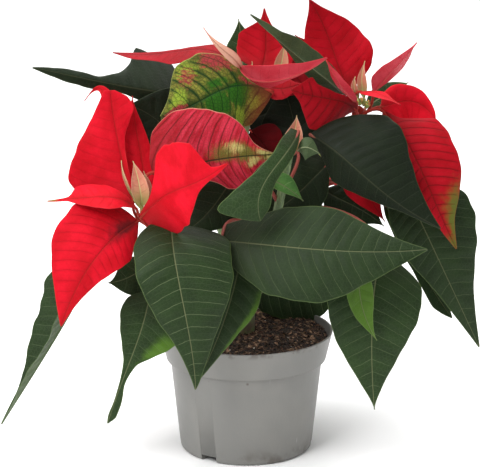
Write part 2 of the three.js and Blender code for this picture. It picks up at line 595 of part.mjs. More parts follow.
// Coloured bracts. drop is how far below the shoot's tip each one grows.
const BRACTS = {
  left: [
    {
      drop: 14, knee: [-82, -48, 185], face: [0.25, -0.95, 0.1], curl: [-6, -10], wave: [1.5, 2],
      outline: [
        [0, 1.5, 1.5], [0.07, 24, 1.5], [0.2, 36, 3], [0.34, 40, 3], [0.52, 31, 5], [0.68, 20, 11],
        [0.8, 13, 15], [0.91, 8, 12], [1, 5, 3],
      ],
      fold: [-4, 14],
      rib: [[-81, -50, 200], [-88, -44, 227], [-94, -37, 255], [-97, -32, 279]],
    },
    {
      drop: 12, half: [15, 8.5], widest: 0.4, face: [0.1, -0.97, 0.15], curl: [-6, -16],
      rib: [[-72, -44, 197], [-74, -34, 221], [-79, -27, 248], [-82, -22, 273]],
    },
    {
      drop: 14, knee: [-76, -61, 187], face: [0, -0.45, 0.9],
      outline: [
        [0, 1.3, 1.3], [0.2, 8, 9], [0.4, 13, 13], [0.6, 9, 14], [0.74, 4, 13], [0.79, 2, 3],
        [0.9, 1.2, 1.5], [1, 0.5, 0.5],
      ],
      rib: [[-78, -60, 199], [-95, -68, 209], [-117, -70, 209], [-141, -62, 205]],
    },
    {
      drop: 14, face: [0, -0.97, 0.25], curl: [-10, -10], wave: [1.5, 2],
      outline: [
        [0, 1.5, 1.5], [0.08, 9, 15], [0.2, 15, 27], [0.35, 20, 36], [0.5, 17, 36], [0.68, 11, 26],
        [0.85, 5, 12], [1, 0.5, 0.5],
      ],
      rib: [[-77, -62, 190], [-95, -80, 181], [-114, -90, 158], [-131, -88, 120]],
    },
    {
      drop: 15, knee: [-67, -66, 182], face: [0.05, -0.95, 0.3], curl: [-10, -14],
      outline: [
        [0, 2.2, 12], [0.05, 3.4, 20], [0.14, 6, 25.3], [0.26, 15, 25.7], [0.38, 29, 25.5],
        [0.48, 32.5, 22.5], [0.6, 32.2, 15.2], [0.72, 30.8, 6.6], [0.86, 26.5, 3], [0.9, 5.2, 2.6],
        [1, 0.5, 0.5],
      ],
      rib: [[-73, -64, 196], [-54, -90, 217], [-38, -96, 225], [-13, -88, 238]],
    },
    {
      drop: 15, half: [6, 8], widest: 0.4, face: [0.2, -0.95, 0.2], curl: [10, 10],
      rib: [[-75, -36, 199], [-92, -12, 220], [-101, 4, 263], [-119, 10, 263]],
    },
  ],
  top: [
    {
      drop: 9,
      outline: [
        [0, 3, 8], [0.06, 7, 17], [0.14, 11, 19], [0.24, 14, 15.5], [0.34, 16, 9.5], [0.45, 17, 6],
        [0.6, 15, 5], [0.75, 10, 5.5], [0.88, 6.5, 4.5], [1, 0.5, 0.5],
      ],
      face: [0, -0.22, 0.97], curl: [-8, -8],
      rib: [[-7, -8, 291], [-31, -6, 304], [-59, -4, 301], [-97, 0, 301]],
    },
    {
      drop: 9, face: [0, -1, 0.1], curl: [6, 6],
      outline: [
        [0, 17, 13], [0.12, 20, 19.5], [0.3, 21, 20.5], [0.45, 21, 16.5], [0.58, 20, 8.5],
        [0.66, 16, 6], [0.74, 8.5, 4], [0.81, 3.3, 2.8], [0.9, 1.6, 1.5], [1, 0.5, 0.5],
      ],
      rib: [[10, -1, 287], [14, 8, 301], [14, 12, 317], [13, 14, 331]],
    },
    {
      drop: 7,
      outline: [
        [0, 4, 3], [0.07, 9, 9], [0.14, 13.5, 14.5], [0.24, 13.8, 18], [0.35, 10, 19.5],
        [0.46, 6.3, 18.4], [0.6, 3.1, 15], [0.78, 1.6, 8], [1, 0.5, 0.5],
      ],
      face: [0.1, 0.65, 0.75], curl: [8, 8],
      knee: [10, -22, 293],
      rib: [[-3, -33, 294], [13, -48, 289], [36, -60, 296], [56, -62, 308]],
    },
    {
      drop: 8, half: [3.8, 4.2], widest: 0.35, face: [0, -0.97, 0.25], curl: [30, 30],
      knee: [8, -22, 290],
      rib: [[-3, -31, 293], [-10, -42, 304.5], [-19, -52, 314], [-30, -56, 328]],
    },
    {
      drop: 16, half: [16, 20], widest: 0.4, face: [0, -0.97, 0.25], curl: [-8, -8],
      rib: [[3, -6, 244], [10, -8, 238], [16, -10, 230], [19, -8, 218]],
    },
    {
      drop: 12, half: [15, 15], widest: 0.42, face: [0, -0.9, 0.4], curl: [-8, -8],
      rib: [[10, 0, 274], [25, 6, 281], [41, 9, 284], [58, 8, 281]],
    },
    {
      drop: 13, half: [14, 9], widest: 0.4, face: [0, -0.8, 0.6], curl: [-8, -8],
      rib: [[14, -9, 278], [22, -14, 277], [30, -17, 278], [41, -15, 281]],
    },
  ],
  right: [
    {
      drop: 9,
      outline: [
        [0, 0.5, 0.5], [0.1, 11.5, 15], [0.22, 20, 24.5], [0.36, 23, 28], [0.5, 21.5, 25],
        [0.64, 17.5, 19.5], [0.78, 12, 11], [0.9, 5.5, 4], [1, 0.5, 0.5],
      ],
      face: [-0.1, -0.98, 0.1], curl: [-8, -10], wave: [1.5, 2],
      rib: [[76, 14, 269], [67, 20, 290], [58, 22, 314], [46, 16, 337]],
    },
    {
      drop: 11, half: [16, 12], widest: 0.4, face: [-0.1, -0.98, 0.1],
      rib: [[74, 20, 267], [62, 30, 280], [49, 32, 295], [36, 28, 309]],
    },
    {
      drop: 12, knee: [94, 10, 254], half: [17, 18], widest: 0.4,
      face: [-0.6, 0.5, 0.6], curl: [8, 8],
      rib: [[93, 9, 270], [102, 7, 282], [112, 2, 294], [123, -4, 309]],
    },
    {
      drop: 11, half: [13.5, 13], widest: 0.42, face: [0, -0.97, 0.25], curl: [-20, -10],
      rib: [[99, 14, 258], [111, 20, 260], [125, 22, 260], [140, 18, 248]],
    },
    {
      drop: 15, face: [0.15, -0.93, 0.33], curl: [-16, -10], wave: [1.5, 2],
      outline: [
        [0, 1.5, 1.5], [0.1, 6, 8], [0.17, 19, 12], [0.23, 30, 12], [0.36, 32, 11], [0.5, 31.5, 10],
        [0.64, 27.5, 9], [0.76, 19, 7], [0.86, 8.5, 5], [1, 0.5, 0.5],
      ],
      rib: [[100, -6, 258], [118, -26, 236], [134, -34, 203], [153, -32, 162]],
    },
    {
      drop: 13, face: [0, -0.97, 0.25], curl: [-6, 0],
      outline: [
        [0, 1.5, 1.5], [0.15, 10, 4], [0.35, 16, 5], [0.55, 22, 6], [0.68, 24, 6], [0.76, 17, 5],
        [0.86, 6, 4], [1, 0.5, 0.5],
      ],
      rib: [[80, -5, 259], [68, -16, 268], [51, -25, 273], [32, -30, 279]],
    },
    {
      drop: 9, half: [8, 8], widest: 0.42, face: [0.3, 0, 0.95], curl: [10, 10],
      rib: [[79, -9, 267], [71, -29, 278], [63, -45, 292], [56, -56, 305]],
    },
    {
      drop: 10, half: [8, 8], widest: 0.36, face: [0, -0.1, 1], curl: [-10, -10],
      rib: [[83, -10, 274], [90, -22, 276], [97, -36, 276], [109, -48, 272]],
    },
    {
      drop: 27, half: [11, 12], widest: 0.45, face: [0, -0.95, 0.3], curl: [-8, -8],
      rib: [[77, 2, 230], [79, 10, 220], [85, 13, 204], [100, 8, 183]],
    },
  ],
};

const MOTTLED = {
  left: {
    drop: 17, face: [0, -0.99, 0.12], curl: [-14, -10], wave: [1.5, 2],
    outline: [
      [0, 10, 2], [0.04, 28, 5], [0.2, 39, 10], [0.36, 38, 15], [0.5, 33, 22], [0.63, 28, 23],
      [0.73, 20, 18], [0.81, 9, 11], [0.9, 4, 5], [1, 0.5, 0.5],
    ],
    rib: [[-67, -46, 222], [-29, -66, 234.5], [-4, -70, 239], [21, -62, 239]],
  },
  top: {
    drop: 18, knee: [11, -14, 268], face: [0, -0.98, 0.2], curl: [-12, -10],
    outline: [
      [0, 8, 1], [0.03, 21, 1], [0.07, 28, 1], [0.18, 30.4, 3.5], [0.28, 31, 14], [0.39, 30, 25],
      [0.55, 25, 31], [0.7, 19, 30.5], [0.82, 13, 24], [0.91, 8, 12], [1, 1.5, 1.5],
    ],
    rib: [[19, -20, 275.5], [-9, -32, 282], [-31, -41, 274], [-61, -42, 261]],
  },
};

// Leaves and bracts at the back of the plant, each spreading from its shoot in a direction that
// is measured from +X towards +Y. rise lifts or lowers the tip against the foot of the blade.
function spreading({ from, azimuth, length, rise, arch, half, lean = 0.25 }) {
  const angle = THREE.MathUtils.degToRad(azimuth);
  const out = new THREE.Vector3(Math.cos(angle), Math.sin(angle), 0);
  const place = (along, height) => {
    const point = vector(from).addScaledVector(out, along * length);
    return [point.x, point.y, point.z + height];
  };
  const third = 1 / 3;
  const rib = [
    place(0, 0),
    place(third, arch + third * rise),
    place(2 * third, arch + 2 * third * rise),
    place(1, rise),
  ];
  const face = [lean * out.x, lean * out.y, 1];
  return { rib, face, half: [half, half], curl: [-10, -10], wave: [1.5, 2] };
}

const BACK_LEAVES = {
  leaf_back_left_low: {
    foot: on('back_left', 0.45), from: [-36, 60, 182],
    azimuth: 150, length: 78, rise: -50, arch: 8, half: 27,
  },
  leaf_back_left_out: {
    foot: on('back_left', 0.75), from: [-52, 62, 216],
    azimuth: 182, length: 68, rise: -20, arch: 8, half: 22,
  },
  leaf_back_middle: {
    foot: on('back_left', 0.6), from: [-16, 82, 184],
    azimuth: 95, length: 80, rise: -62, arch: 8, half: 30,
  },
  leaf_back_under: {
    foot: on('back_right', 0.3), from: [42, 60, 142],
    azimuth: 90, length: 44, rise: -76, arch: 10, half: 35, lean: 1,
  },
  leaf_back_right_low: {
    foot: on('back_right', 0.5), from: [50, 68, 158],
    azimuth: 58, length: 70, rise: -60, arch: 8, half: 27,
  },
  leaf_back_right_out: {
    foot: on('back_right', 0.8), from: [74, 76, 186],
    azimuth: 8, length: 70, rise: -40, arch: 8, half: 26,
  },
  leaf_back_top: {
    foot: on('top', 0.6), from: [4, 36, 216],
    azimuth: 86, length: 62, rise: -30, arch: 8, half: 24,
  },
  leaf_back_right_high: {
    foot: on('right', 0.75), from: [88, 30, 224],
    azimuth: 36, length: 62, rise: -44, arch: 8, half: 22,
  },
};

// Rings of bracts on the two rear heads: [azimuth, length, rise, drop].
const BACK_BRACTS = {
  back_left: [
    [150, 68, -8, 12], [192, 52, -2, 15], [108, 76, -14, 14], [66, 74, -14, 11], [24, 52, -6, 16],
    [128, 48, 22, 8], [52, 46, 22, 9], [88, 44, 28, 8],
  ],
  back_right: [
    [8, 54, -8, 13], [50, 72, -10, 12], [92, 70, -12, 15], [128, 48, -8, 11], [-38, 46, -14, 16],
    [70, 46, 24, 8], [24, 42, 22, 9], [116, 44, 20, 9],
  ],
};
const BACK_BRACT_SLENDERNESS = 0.26;
const BACK_BRACT_STANDOFF = 9;
const BACK_BRACT_LIFT = 3;
const BACK_BRACT_ARCH = 5;

function backBract(shoot, [azimuth, length, rise, drop]) {
  const angle = THREE.MathUtils.degToRad(azimuth);
  const axis = vector(shoot.axis).normalize();
  const start = vector(shoot.head).addScaledVector(axis, -drop);
  start.x += BACK_BRACT_STANDOFF * Math.cos(angle);
  start.y += BACK_BRACT_STANDOFF * Math.sin(angle);
  start.z += BACK_BRACT_LIFT;
  const blade = {
    from: start.toArray(), azimuth, length: length - BACK_BRACT_STANDOFF, rise,
    arch: BACK_BRACT_ARCH, half: BACK_BRACT_SLENDERNESS * length,
  };
  return { drop, ...spreading(blade) };
}
for (const [name, rows] of Object.entries(BACK_BRACTS)) {
  BRACTS[name] = rows.map((row) => backBract(SHOOTS[name], row));
}

// Narrow young bracts round the middle of each head, still cream and rolled inwards.
const YOUNG_BRACTS = {
  left: [
    { half: [8, 9], rib: [[-74, -59, 200], [-75, -64, 213], [-77, -64, 224], [-80, -62, 234]] },
    { half: [5, 5], rib: [[-71, -57, 200], [-71, -57, 209], [-71, -56, 217], [-73, -55, 225]] },
    { half: [1.3, 1.3], rib: [[-79, -56, 203], [-84, -62, 216], [-87, -64, 226], [-88, -65, 235]] },
  ],
  top: [
    { half: [5.5, 5.5], rib: [[22, -8, 285], [25, -8, 293], [26.5, -8, 301], [28, -6, 309]] },
    { half: [1, 1], rib: [[2, -6, 284], [3, -5, 288], [4, -4, 292], [4, -4, 295]] },
  ],
  right: [
    { half: [4, 4], rib: [[86, -1, 267], [84, -4, 278], [84, -4, 286], [86, -2, 295]] },
    { half: [3, 3], rib: [[82, -1, 267], [79, -5, 273], [78, -6, 279], [79, -5, 284]] },
  ],
  back_left: [
    { half: [4, 4], rib: [[-37, 76, 246], [-41, 74, 255], [-42, 74, 263], [-41, 75, 270]] },
    { half: [3, 3], rib: [[-32, 82, 246], [-30, 86, 255], [-29, 87, 262], [-30, 87, 268]] },
  ],
  back_right: [
    { half: [4, 4], rib: [[55, 72, 211], [51, 70, 220], [50, 70, 228], [51, 71, 235]] },
    { half: [3, 3], rib: [[61, 77, 211], [64, 80, 220], [65, 81, 226], [64, 81, 232]] },
  ],
};
const CYATHIUM_PROFILE = [[0, 0], [1.6, 1.2], [1.5, 3.2], [0, 4]];
const CYATHIUM_RING = 2.6;
const CYATHIUM_FACETS = 5;
const CYATHIUM_RISES = [1.6, 2.8];
const CYATHIA_AROUND = 3;
const CYATHIA_TURN = 0.6;
const DOME_PROFILE = [[0, 0], [2.4, 0], [3.4, 1.8], [0, 4]];
const DOME_FACETS = 6;
const YOUNG_BRACT_RISE = 2.2;
const YOUNG_BRACT_STALK = 0.9;
const YOUNG_BRACT_STEPS = [0.12, 0.4, 0.72, 1];

function alignTo(geometry, axis, place) {
  const turn = new THREE.Quaternion().setFromUnitVectors(new THREE.Vector3(0, 0, 1), axis);
  geometry.applyQuaternion(turn);
  geometry.translate(place.x, place.y, place.z);
  return geometry;
}

function turnedBud(profile, facets) {
  const geometry = new THREE.LatheGeometry(profile.map(([r, z]) => new THREE.Vector2(r, z)), facets);
  geometry.rotateX(Math.PI / 2);
  return geometry;
}

function makeCentre(name) {
  const shoot = SHOOTS[name];
  const axis = vector(shoot.axis).normalize();
  const head = vector(shoot.head);
  const seat = head.clone().addScaledVector(axis, TOUCH_GAP);
  const dome = turnedBud(DOME_PROFILE, DOME_FACETS);
  const solids = [toSolid(alignTo(dome, axis, seat))];
  for (let i = 0; i <= CYATHIA_AROUND; i += 1) {
    const angle = (i / CYATHIA_AROUND) * 2 * Math.PI + CYATHIA_TURN;
    const [ring, rise] = i < CYATHIA_AROUND ? [CYATHIUM_RING, CYATHIUM_RISES[0]] : [0, CYATHIUM_RISES[1]];
    const bud = turnedBud(CYATHIUM_PROFILE, CYATHIUM_FACETS);
    bud.translate(ring * Math.cos(angle), ring * Math.sin(angle), rise);
    solids.push(toSolid(alignTo(bud, axis, seat)));
  }
  const foot = head.clone().addScaledVector(axis, YOUNG_BRACT_RISE).toArray();
  for (const young of YOUNG_BRACTS[name]) {
    const common = { foot, face: [0, -0.97, 0.25], curl: [50, 50] };
    solids.push(makeBlade({ ...common, stalk: YOUNG_BRACT_STALK, steps: YOUNG_BRACT_STEPS, ...young }));
  }
  return wasm.Manifold.union(solids);
}

// A straight rod along a shoot's tip, through [distance from the head, radius] pairs.
function shootRod(shoot, sections) {
  const axis = vector(shoot.axis).normalize();
  const head = vector(shoot.head);
  const side = new THREE.Vector3(0, 1, 0).cross(axis).normalize();
  const up = side.clone().cross(axis);
  return loft(sections.map(([along, radius]) => {
    const centre = head.clone().addScaledVector(axis, along);
    return roundSection(centre, side, up, radius, STEM_SIDES / 2);
  }));
}

function shootCore(shoot) {
  return shootRod(shoot, [
    [-CORE_LENGTH, CORE_RADIUS],
    [-CORE_SHOULDER, CORE_RADIUS + CORE_SWELL],
    [0, CORE_RADIUS - CORE_SWELL],
  ]);
}

function bractSolid(shoot, bract) {
  const axis = vector(shoot.axis).normalize();
  const foot = vector(shoot.head).addScaledVector(axis, -bract.drop).toArray();
  return makeBlade({ ...bract, foot });
}

function coreRoom(shoot) {
  const radius = CORE_RADIUS + CORE_SWELL + TOUCH_GAP;
  return shootRod(shoot, [[-CORE_LENGTH - 1, radius], [1, radius]]);
}

function makeBracts(name) {
  const shoot = SHOOTS[name];
  const solids = BRACTS[name].map((bract) => bractSolid(shoot, bract));
  return wasm.Manifold.union([shootCore(shoot), ...solids]);
}

function makeMottledBract(name) {
  return bractSolid(SHOOTS[name], MOTTLED[name]).subtract(coreRoom(SHOOTS[name]));
}

// ---------------------------------------------------------------------------------------------
// The plant put together
// ---------------------------------------------------------------------------------------------
const plant = new THREE.Group();
const stemRoom = makeStem(TOUCH_GAP);

function addGrown(name, solid, look) {
  plant.add(toMesh(name, largestPiece(solid.subtract(stemRoom)), look));
}

plant.add(toMesh('pot', makePot(), GREY_PLASTIC));
addGrown('soil', makeSoil(), PEAT);
plant.add(toMesh('stem', makeStem(0), STEM_GREEN));

for (const [name, leaf] of Object.entries(LEAVES)) {
  addGrown(name, makeBlade(leaf), leaf.look ?? LEAF_GREEN);
}
for (const [name, leaf] of Object.entries(BACK_LEAVES)) {
  addGrown(name, makeBlade({ foot: leaf.foot, ...spreading(leaf) }), LEAF_GREEN);
}
for (const name of Object.keys(BRACTS)) {
  addGrown(`bracts_${name}`, makeBracts(name), BRACT_RED);
  addGrown(`centre_${name}`, makeCentre(name), BRACT_CREAM);
}
for (const name of Object.keys(MOTTLED)) {
  addGrown(`bract_mottled_${name}`, makeMottledBract(name), BRACT_MOTTLED);
}

export default plant;
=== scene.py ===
import json
import math

import bpy
import numpy as np
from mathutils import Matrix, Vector, noise

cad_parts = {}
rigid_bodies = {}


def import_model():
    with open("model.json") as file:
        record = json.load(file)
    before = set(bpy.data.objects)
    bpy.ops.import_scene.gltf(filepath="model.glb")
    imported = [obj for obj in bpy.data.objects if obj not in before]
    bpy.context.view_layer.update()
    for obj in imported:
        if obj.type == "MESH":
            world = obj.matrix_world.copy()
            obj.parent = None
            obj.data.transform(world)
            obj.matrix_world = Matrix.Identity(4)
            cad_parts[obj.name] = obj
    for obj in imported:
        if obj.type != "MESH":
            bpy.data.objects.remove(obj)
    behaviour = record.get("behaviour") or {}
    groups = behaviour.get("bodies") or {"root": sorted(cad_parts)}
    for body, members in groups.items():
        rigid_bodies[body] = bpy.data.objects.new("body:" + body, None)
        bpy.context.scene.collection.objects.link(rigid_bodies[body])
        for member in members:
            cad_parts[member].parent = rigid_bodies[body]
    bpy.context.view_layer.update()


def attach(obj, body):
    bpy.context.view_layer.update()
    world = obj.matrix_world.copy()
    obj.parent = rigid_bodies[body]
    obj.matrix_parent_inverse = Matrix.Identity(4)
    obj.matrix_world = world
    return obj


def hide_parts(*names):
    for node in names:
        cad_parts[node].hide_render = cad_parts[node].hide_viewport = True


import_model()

# ---------------------------------------------------------------------------------------------
# The pot. A tapered grower's pot, injection-moulded in grey recycled plastic with a 1.6 mm wall
# that steps out into a stiff rim band. The base has a raised channel with six drain holes and
# three foot notches, so that water can run out under it.
# ---------------------------------------------------------------------------------------------
MM = 0.001
RIM_FOOT = 69.5
POT_WALL = 1.6
RIM_FOOT_RADIUS = 60.0
BODY_RADIUS = 57.0
BASE_RADIUS = 49.5
POT_SEGMENTS = 168
DRAIN_HOLES = 6
DRAIN_RING = 33.0
DRAIN_RADIUS = 4.5
DRAIN_SIDES = 32
DRAIN_CUT = (-2, 10)
NOTCHES = 3
NOTCH_FIRST = -124.0
NOTCH_SIZE = (14.0, 13.0, 10.0)
POT_GREY = (0.178, 0.176, 0.165, 1.0)
POT_GREY_DUSTY = (0.215, 0.21, 0.192, 1.0)
POT_SCUFF = (0.4, 0.4, 0.38, 1.0)
# peat-stain brown, also used for the painted shade under the rim band
PEAT_STAIN_AND_SHADE = (0.055, 0.038, 0.026, 1.0)
POT_MARK = (0.001, -0.0572, 0.0662)
# turn, scale and width of the hair-thin scuffs, which run three ways
POT_SCUFFS = ((0.5, 34, 0.022), (-0.9, 48, 0.018), (1.35, 30, 0.015))
# radius, height and corner ease of the wall's section, from the middle of the underside round
# the outside and back to the middle of the floor
POT_SECTION = [
    (0, 0, 0), (22, 0, 0.5), (23, 4, 0.7), (42, 4, 0.7), (43, 0, 0.5), (BASE_RADIUS, 0, 3.2),
    (56.9, 67.6, 0.3), (BODY_RADIUS, RIM_FOOT, 0.6), (RIM_FOOT_RADIUS, RIM_FOOT, 0.9),
    (60.4, 71.4, 0.3), (64.6, 89.3, 0.3), (65.1, 91, 0.7), (63.3, 91, 0.6),
    (58.4, RIM_FOOT + POT_WALL, 0.7), (BODY_RADIUS - POT_WALL, RIM_FOOT, 0.7),
    (47.9, 7.6, 1.5), (45.9, 5.6, 0.6), (0, 5.6, 0),
]


def eased(section, steps=4):
    """The section's points with each corner replaced by a short arc."""
    points = [np.array(section[0][:2], float)]
    for before, here, after in zip(section, section[1:], section[2:]):
        a, b, c = (np.array(p[:2], float) for p in (before, here, after))
        ease = min(here[2], 0.45 * np.linalg.norm(a - b), 0.45 * np.linalg.norm(c - b))
        start = b + (a - b) / np.linalg.norm(a - b) * ease
        end = b + (c - b) / np.linalg.norm(c - b) * ease
        for t in np.linspace(0, 1, steps + 1):
            points.append((1 - t) ** 2 * start + 2 * t * (1 - t) * b + t * t * end)
    points.append(np.array(section[-1][:2], float))
    return points


def ring_at(radius, height, sides):
    """Points round the axis at one height."""
    turns = np.linspace(0, 2 * np.pi, sides, endpoint=False)
    return [(radius * math.cos(t), radius * math.sin(t), height) for t in turns]


def mesh_of(name, points, faces=(), smooth=True):
    """A mesh, in metres, from points in millimetres."""
    mesh = bpy.data.meshes.new(name)
    mesh.from_pydata((MM * np.array(points, float)).tolist(), [], faces)
    if smooth:
        mesh.polygons.foreach_set("use_smooth", [True] * len(mesh.polygons))
    return mesh


def turned_mesh(name, section, segments):
    """A closed turned body; the section runs from the axis, round the outside, to the axis."""
    inner = section[1:-1]
    points = [(0, 0, section[0][1])]
    for radius, height in inner:
        points += ring_at(radius, height, segments)
    points.append((0, 0, section[-1][1]))
    faces = []
    top = 1 + (len(inner) - 1) * segments
    for k in range(segments):
        nxt = (k + 1) % segments
        faces.append((0, 1 + nxt, 1 + k))
        for low in range(1, top, segments):
            high = low + segments
            faces.append((low + k, low + nxt, high + nxt, high + k))
        faces.append((top + k, top + nxt, len(points) - 1))
    return mesh_of(name, points, faces)


def place(name, mesh):
    """A new object in the scene that holds the mesh."""
    thing = bpy.data.objects.new(name, mesh)
    bpy.context.scene.collection.objects.link(thing)
    return thing


def mount(piece, node=None):
    """A piece rides on the plant's one body; node is the solid that it replaces."""
    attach(piece, "root")
    if node:
        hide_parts(node)


def settled(thing):
    """The object with its modifiers worked into its mesh, so that none is left on it."""
    view = bpy.context.evaluated_depsgraph_get()
    mesh = bpy.data.meshes.new_from_object(thing.evaluated_get(view))
    mesh.name = thing.name
    thing.modifiers.clear()
    thing.data = mesh
    return thing


def base_cutter():
    """The drain holes and foot notches as one body to cut away."""
    cuts = []
    for hole in range(DRAIN_HOLES):
        angle = 2 * math.pi * (hole + 0.5) / DRAIN_HOLES
        x, y = DRAIN_RING * math.cos(angle), DRAIN_RING * math.sin(angle)
        cuts.append(([(x + a, y + b) for a, b, _ in ring_at(DRAIN_RADIUS, 0, DRAIN_SIDES)], DRAIN_CUT))
    depth, width, height = NOTCH_SIZE
    for notch in range(NOTCHES):
        angle = math.radians(NOTCH_FIRST + 360 / NOTCHES * notch)
        out = np.array([math.cos(angle), math.sin(angle)])
        across = np.array([-out[1], out[0]])
        corners = [(-0.5, 0.5), (-0.5, -0.5), (0.5, -0.5), (0.5, 0.5)]
        box = [out * (BASE_RADIUS + a * depth) + across * (b * width) for a, b in corners]
        cuts.append((box, (-0.5 * height, 0.5 * height)))
    points, faces = [], []
    for outline, levels in cuts:
        first, count = len(points), len(outline)
        points += [(x, y, level) for level in levels for x, y in outline]
        faces += [tuple(first + k for k in reversed(range(count))),
                  tuple(first + count + k for k in range(count))]
        for k in range(count):
            nxt = (k + 1) % count
            faces.append((first + k, first + nxt, first + count + nxt, first + count + k))
    return place("base_cutter", mesh_of("base_cutter", points, faces, smooth=False))


def put(tree, kind, inputs=None, **settings):
    """A new node with its settings, its inputs given as values or as sockets to link."""
    node = tree.nodes.new(kind)
    for key, value in settings.items():
        setattr(node, key, value)
    for key, value in (inputs or {}).items():
        value = getattr(value, "socket", value)
        if isinstance(value, bpy.types.NodeSocket):
            tree.links.new(value, node.inputs[key])
        else:
            node.inputs[key].default_value = value
    return node


class Tone:
    """A value or colour in a surface's node tree, worked on with plain arithmetic."""

    def __init__(self, tree, kind, inputs, output=0, **settings):
        self.tree = tree
        self.socket = put(tree, kind, inputs, **settings).outputs[output]

    def calc(self, operation, *terms, clamp=False):
        terms = dict(enumerate(terms))
        return Tone(self.tree, "ShaderNodeMath", terms, operation=operation, use_clamp=clamp)

    def __add__(self, other):
        return self.calc("ADD", self, other)

    def __sub__(self, other):
        return self.calc("SUBTRACT", self, other)

    def __mul__(self, other):
        return self.calc("MULTIPLY", self, other)

    def __abs__(self):
        return self.calc("ABSOLUTE", self)

    def most(self, other):
        return self.calc("MAXIMUM", self, other)

    def times(self, factor, plus, clamp=False):
        return self.calc("MULTIPLY_ADD", self, factor, plus, clamp=clamp)

    def rise(self, low, high):
        """0 below low, 1 above high and smooth between."""
        span = {"Value": self, "From Min": low, "From Max": high}
        return Tone(self.tree, "ShaderNodeMapRange", span, interpolation_type="SMOOTHSTEP")

    def fall(self, low, high):
        return self.calc("SUBTRACT", 1.0, self.rise(low, high))


class Surface:
    """A new material, put together from tones."""

    def __init__(self, name):
        self.material = bpy.data.materials.new(name)
        self.material.use_nodes = True
        self.tree = self.material.node_tree
        self.tree.nodes.clear()
        self.where = self.tone("ShaderNodeTexCoord", output="Object")

    def tone(self, kind, inputs=None, output=0, **settings):
        return Tone(self.tree, kind, inputs, output, **settings)

    def clouds(self, where, scale, detail=3.0, rough=0.55):
        """A noise value from 0 to 1."""
        return self.tone("ShaderNodeTexNoise", {
            "Vector": where, "Scale": scale, "Detail": detail, "Roughness": rough}, "Fac")

    def cells(self, where, scale, **settings):
        """The distance from the middle or, by its settings, from the edge of the nearest cell."""
        return self.tone("ShaderNodeTexVoronoi", {"Vector": where, "Scale": scale}, "Distance", **settings)

    def stretched(self, scale, turn=(0, 0, 0)):
        """Coordinates scaled differently along each axis, for streaks."""
        return self.tone("ShaderNodeMapping", {"Vector": self.where, "Scale": scale, "Rotation": turn})

    def height(self):
        return self.tone("ShaderNodeSeparateXYZ", {0: self.where}, 2)

    def mix(self, share, first, second):
        """Two colours mixed by a share of the second."""
        return self.tone("ShaderNodeMix", {0: share, 6: first, 7: second}, 2, data_type="RGBA")

    def finish(self, colour, roughness, relief=None, depth=0.0, **fixed):
        """The surface shader, with a bump and its uniform values set on its own sockets."""
        shader = put(self.tree, "ShaderNodeBsdfPrincipled", {"Base Color": colour, "Roughness": roughness})
        for key, value in fixed.items():
            shader.inputs[key.replace("_", " ")].default_value = value
        if relief is not None:
            bump = put(self.tree, "ShaderNodeBump", {"Height": relief, "Distance": depth})
            self.tree.links.new(bump.outputs[0], shader.inputs["Normal"])
        put(self.tree, "ShaderNodeOutputMaterial", {0: shader.outputs[0]})
        return self.material


def moulded_grey():
    grey = Surface("grey_recycled_plastic")
    where, clouds, mix, height = grey.where, grey.clouds, grey.mix, grey.height()
    colour = mix(clouds(where, 22).rise(0.4, 0.7) * 0.55, POT_GREY, POT_GREY_DUSTY)
    flow = clouds(grey.stretched((60, 60, 5)), 1.0)
    colour = mix(flow.rise(0.45, 0.8) * 0.25, colour, POT_GREY_DUSTY)
    for turn, scale, wide in POT_SCUFFS:
        streaks = grey.stretched((scale * 6, scale * 6, scale * 0.8), (turn, 0.3 * turn, 0))
        hair = grey.cells(streaks, 0.45, feature="F1").fall(wide, 3.2 * wide)
        colour = mix(hair * clouds(where, 14).rise(0.46, 0.62) * 0.55, colour, POT_SCUFF)
    speck = grey.cells(where, 130.0, feature="F1").fall(0.05, 0.11) * clouds(where, 40).rise(0.55, 0.66)
    # darker in patches round the top of the rim, inside and out
    rim_top_darkening = height.rise(0.086, 0.0905) * clouds(where, 120).rise(0.5, 0.66)
    splashed = height.fall(0.001, 0.016) * clouds(where, 60).rise(0.5, 0.7)
    # painted shade: a dark line in the peat-stain colour along the step under the rim band
    band_painted_shade = abs(height - RIM_FOOT * MM).fall(0.0, 0.0011) * 0.5
    mark = grey.tone("ShaderNodeVectorMath", {0: where, 1: POT_MARK}, "Value", operation="DISTANCE")
    # the peat-stain colour goes on the specks, splashes, mark and rim-top patches, and as painted shade on
    # the line under the band
    stains_and_band_shade = rim_top_darkening.most(splashed).most(speck).most(band_painted_shade).most(mark.fall(0.0007, 0.0014))
    colour = mix(stains_and_band_shade.calc("MULTIPLY", stains_and_band_shade, 0.6, clamp=True), colour, PEAT_STAIN_AND_SHADE)
    grain = clouds(where, 900, 2.0).times(0.4, clouds(where, 45))
    return grey.finish(colour, clouds(where, 70).times(0.18, 0.36), grain, 0.00022)


pot = place("pot_moulding", turned_mesh("pot_moulding", eased(POT_SECTION), POT_SEGMENTS))
cutter = base_cutter()
cut = pot.modifiers.new("base_openings", "BOOLEAN")
cut.operation = "DIFFERENCE"
cut.solver = "EXACT"
cut.object = cutter
settled(pot)
bpy.data.objects.remove(cutter)
pot.data.materials.clear()
pot.data.materials.append(moulded_grey())
mount(pot, "pot")

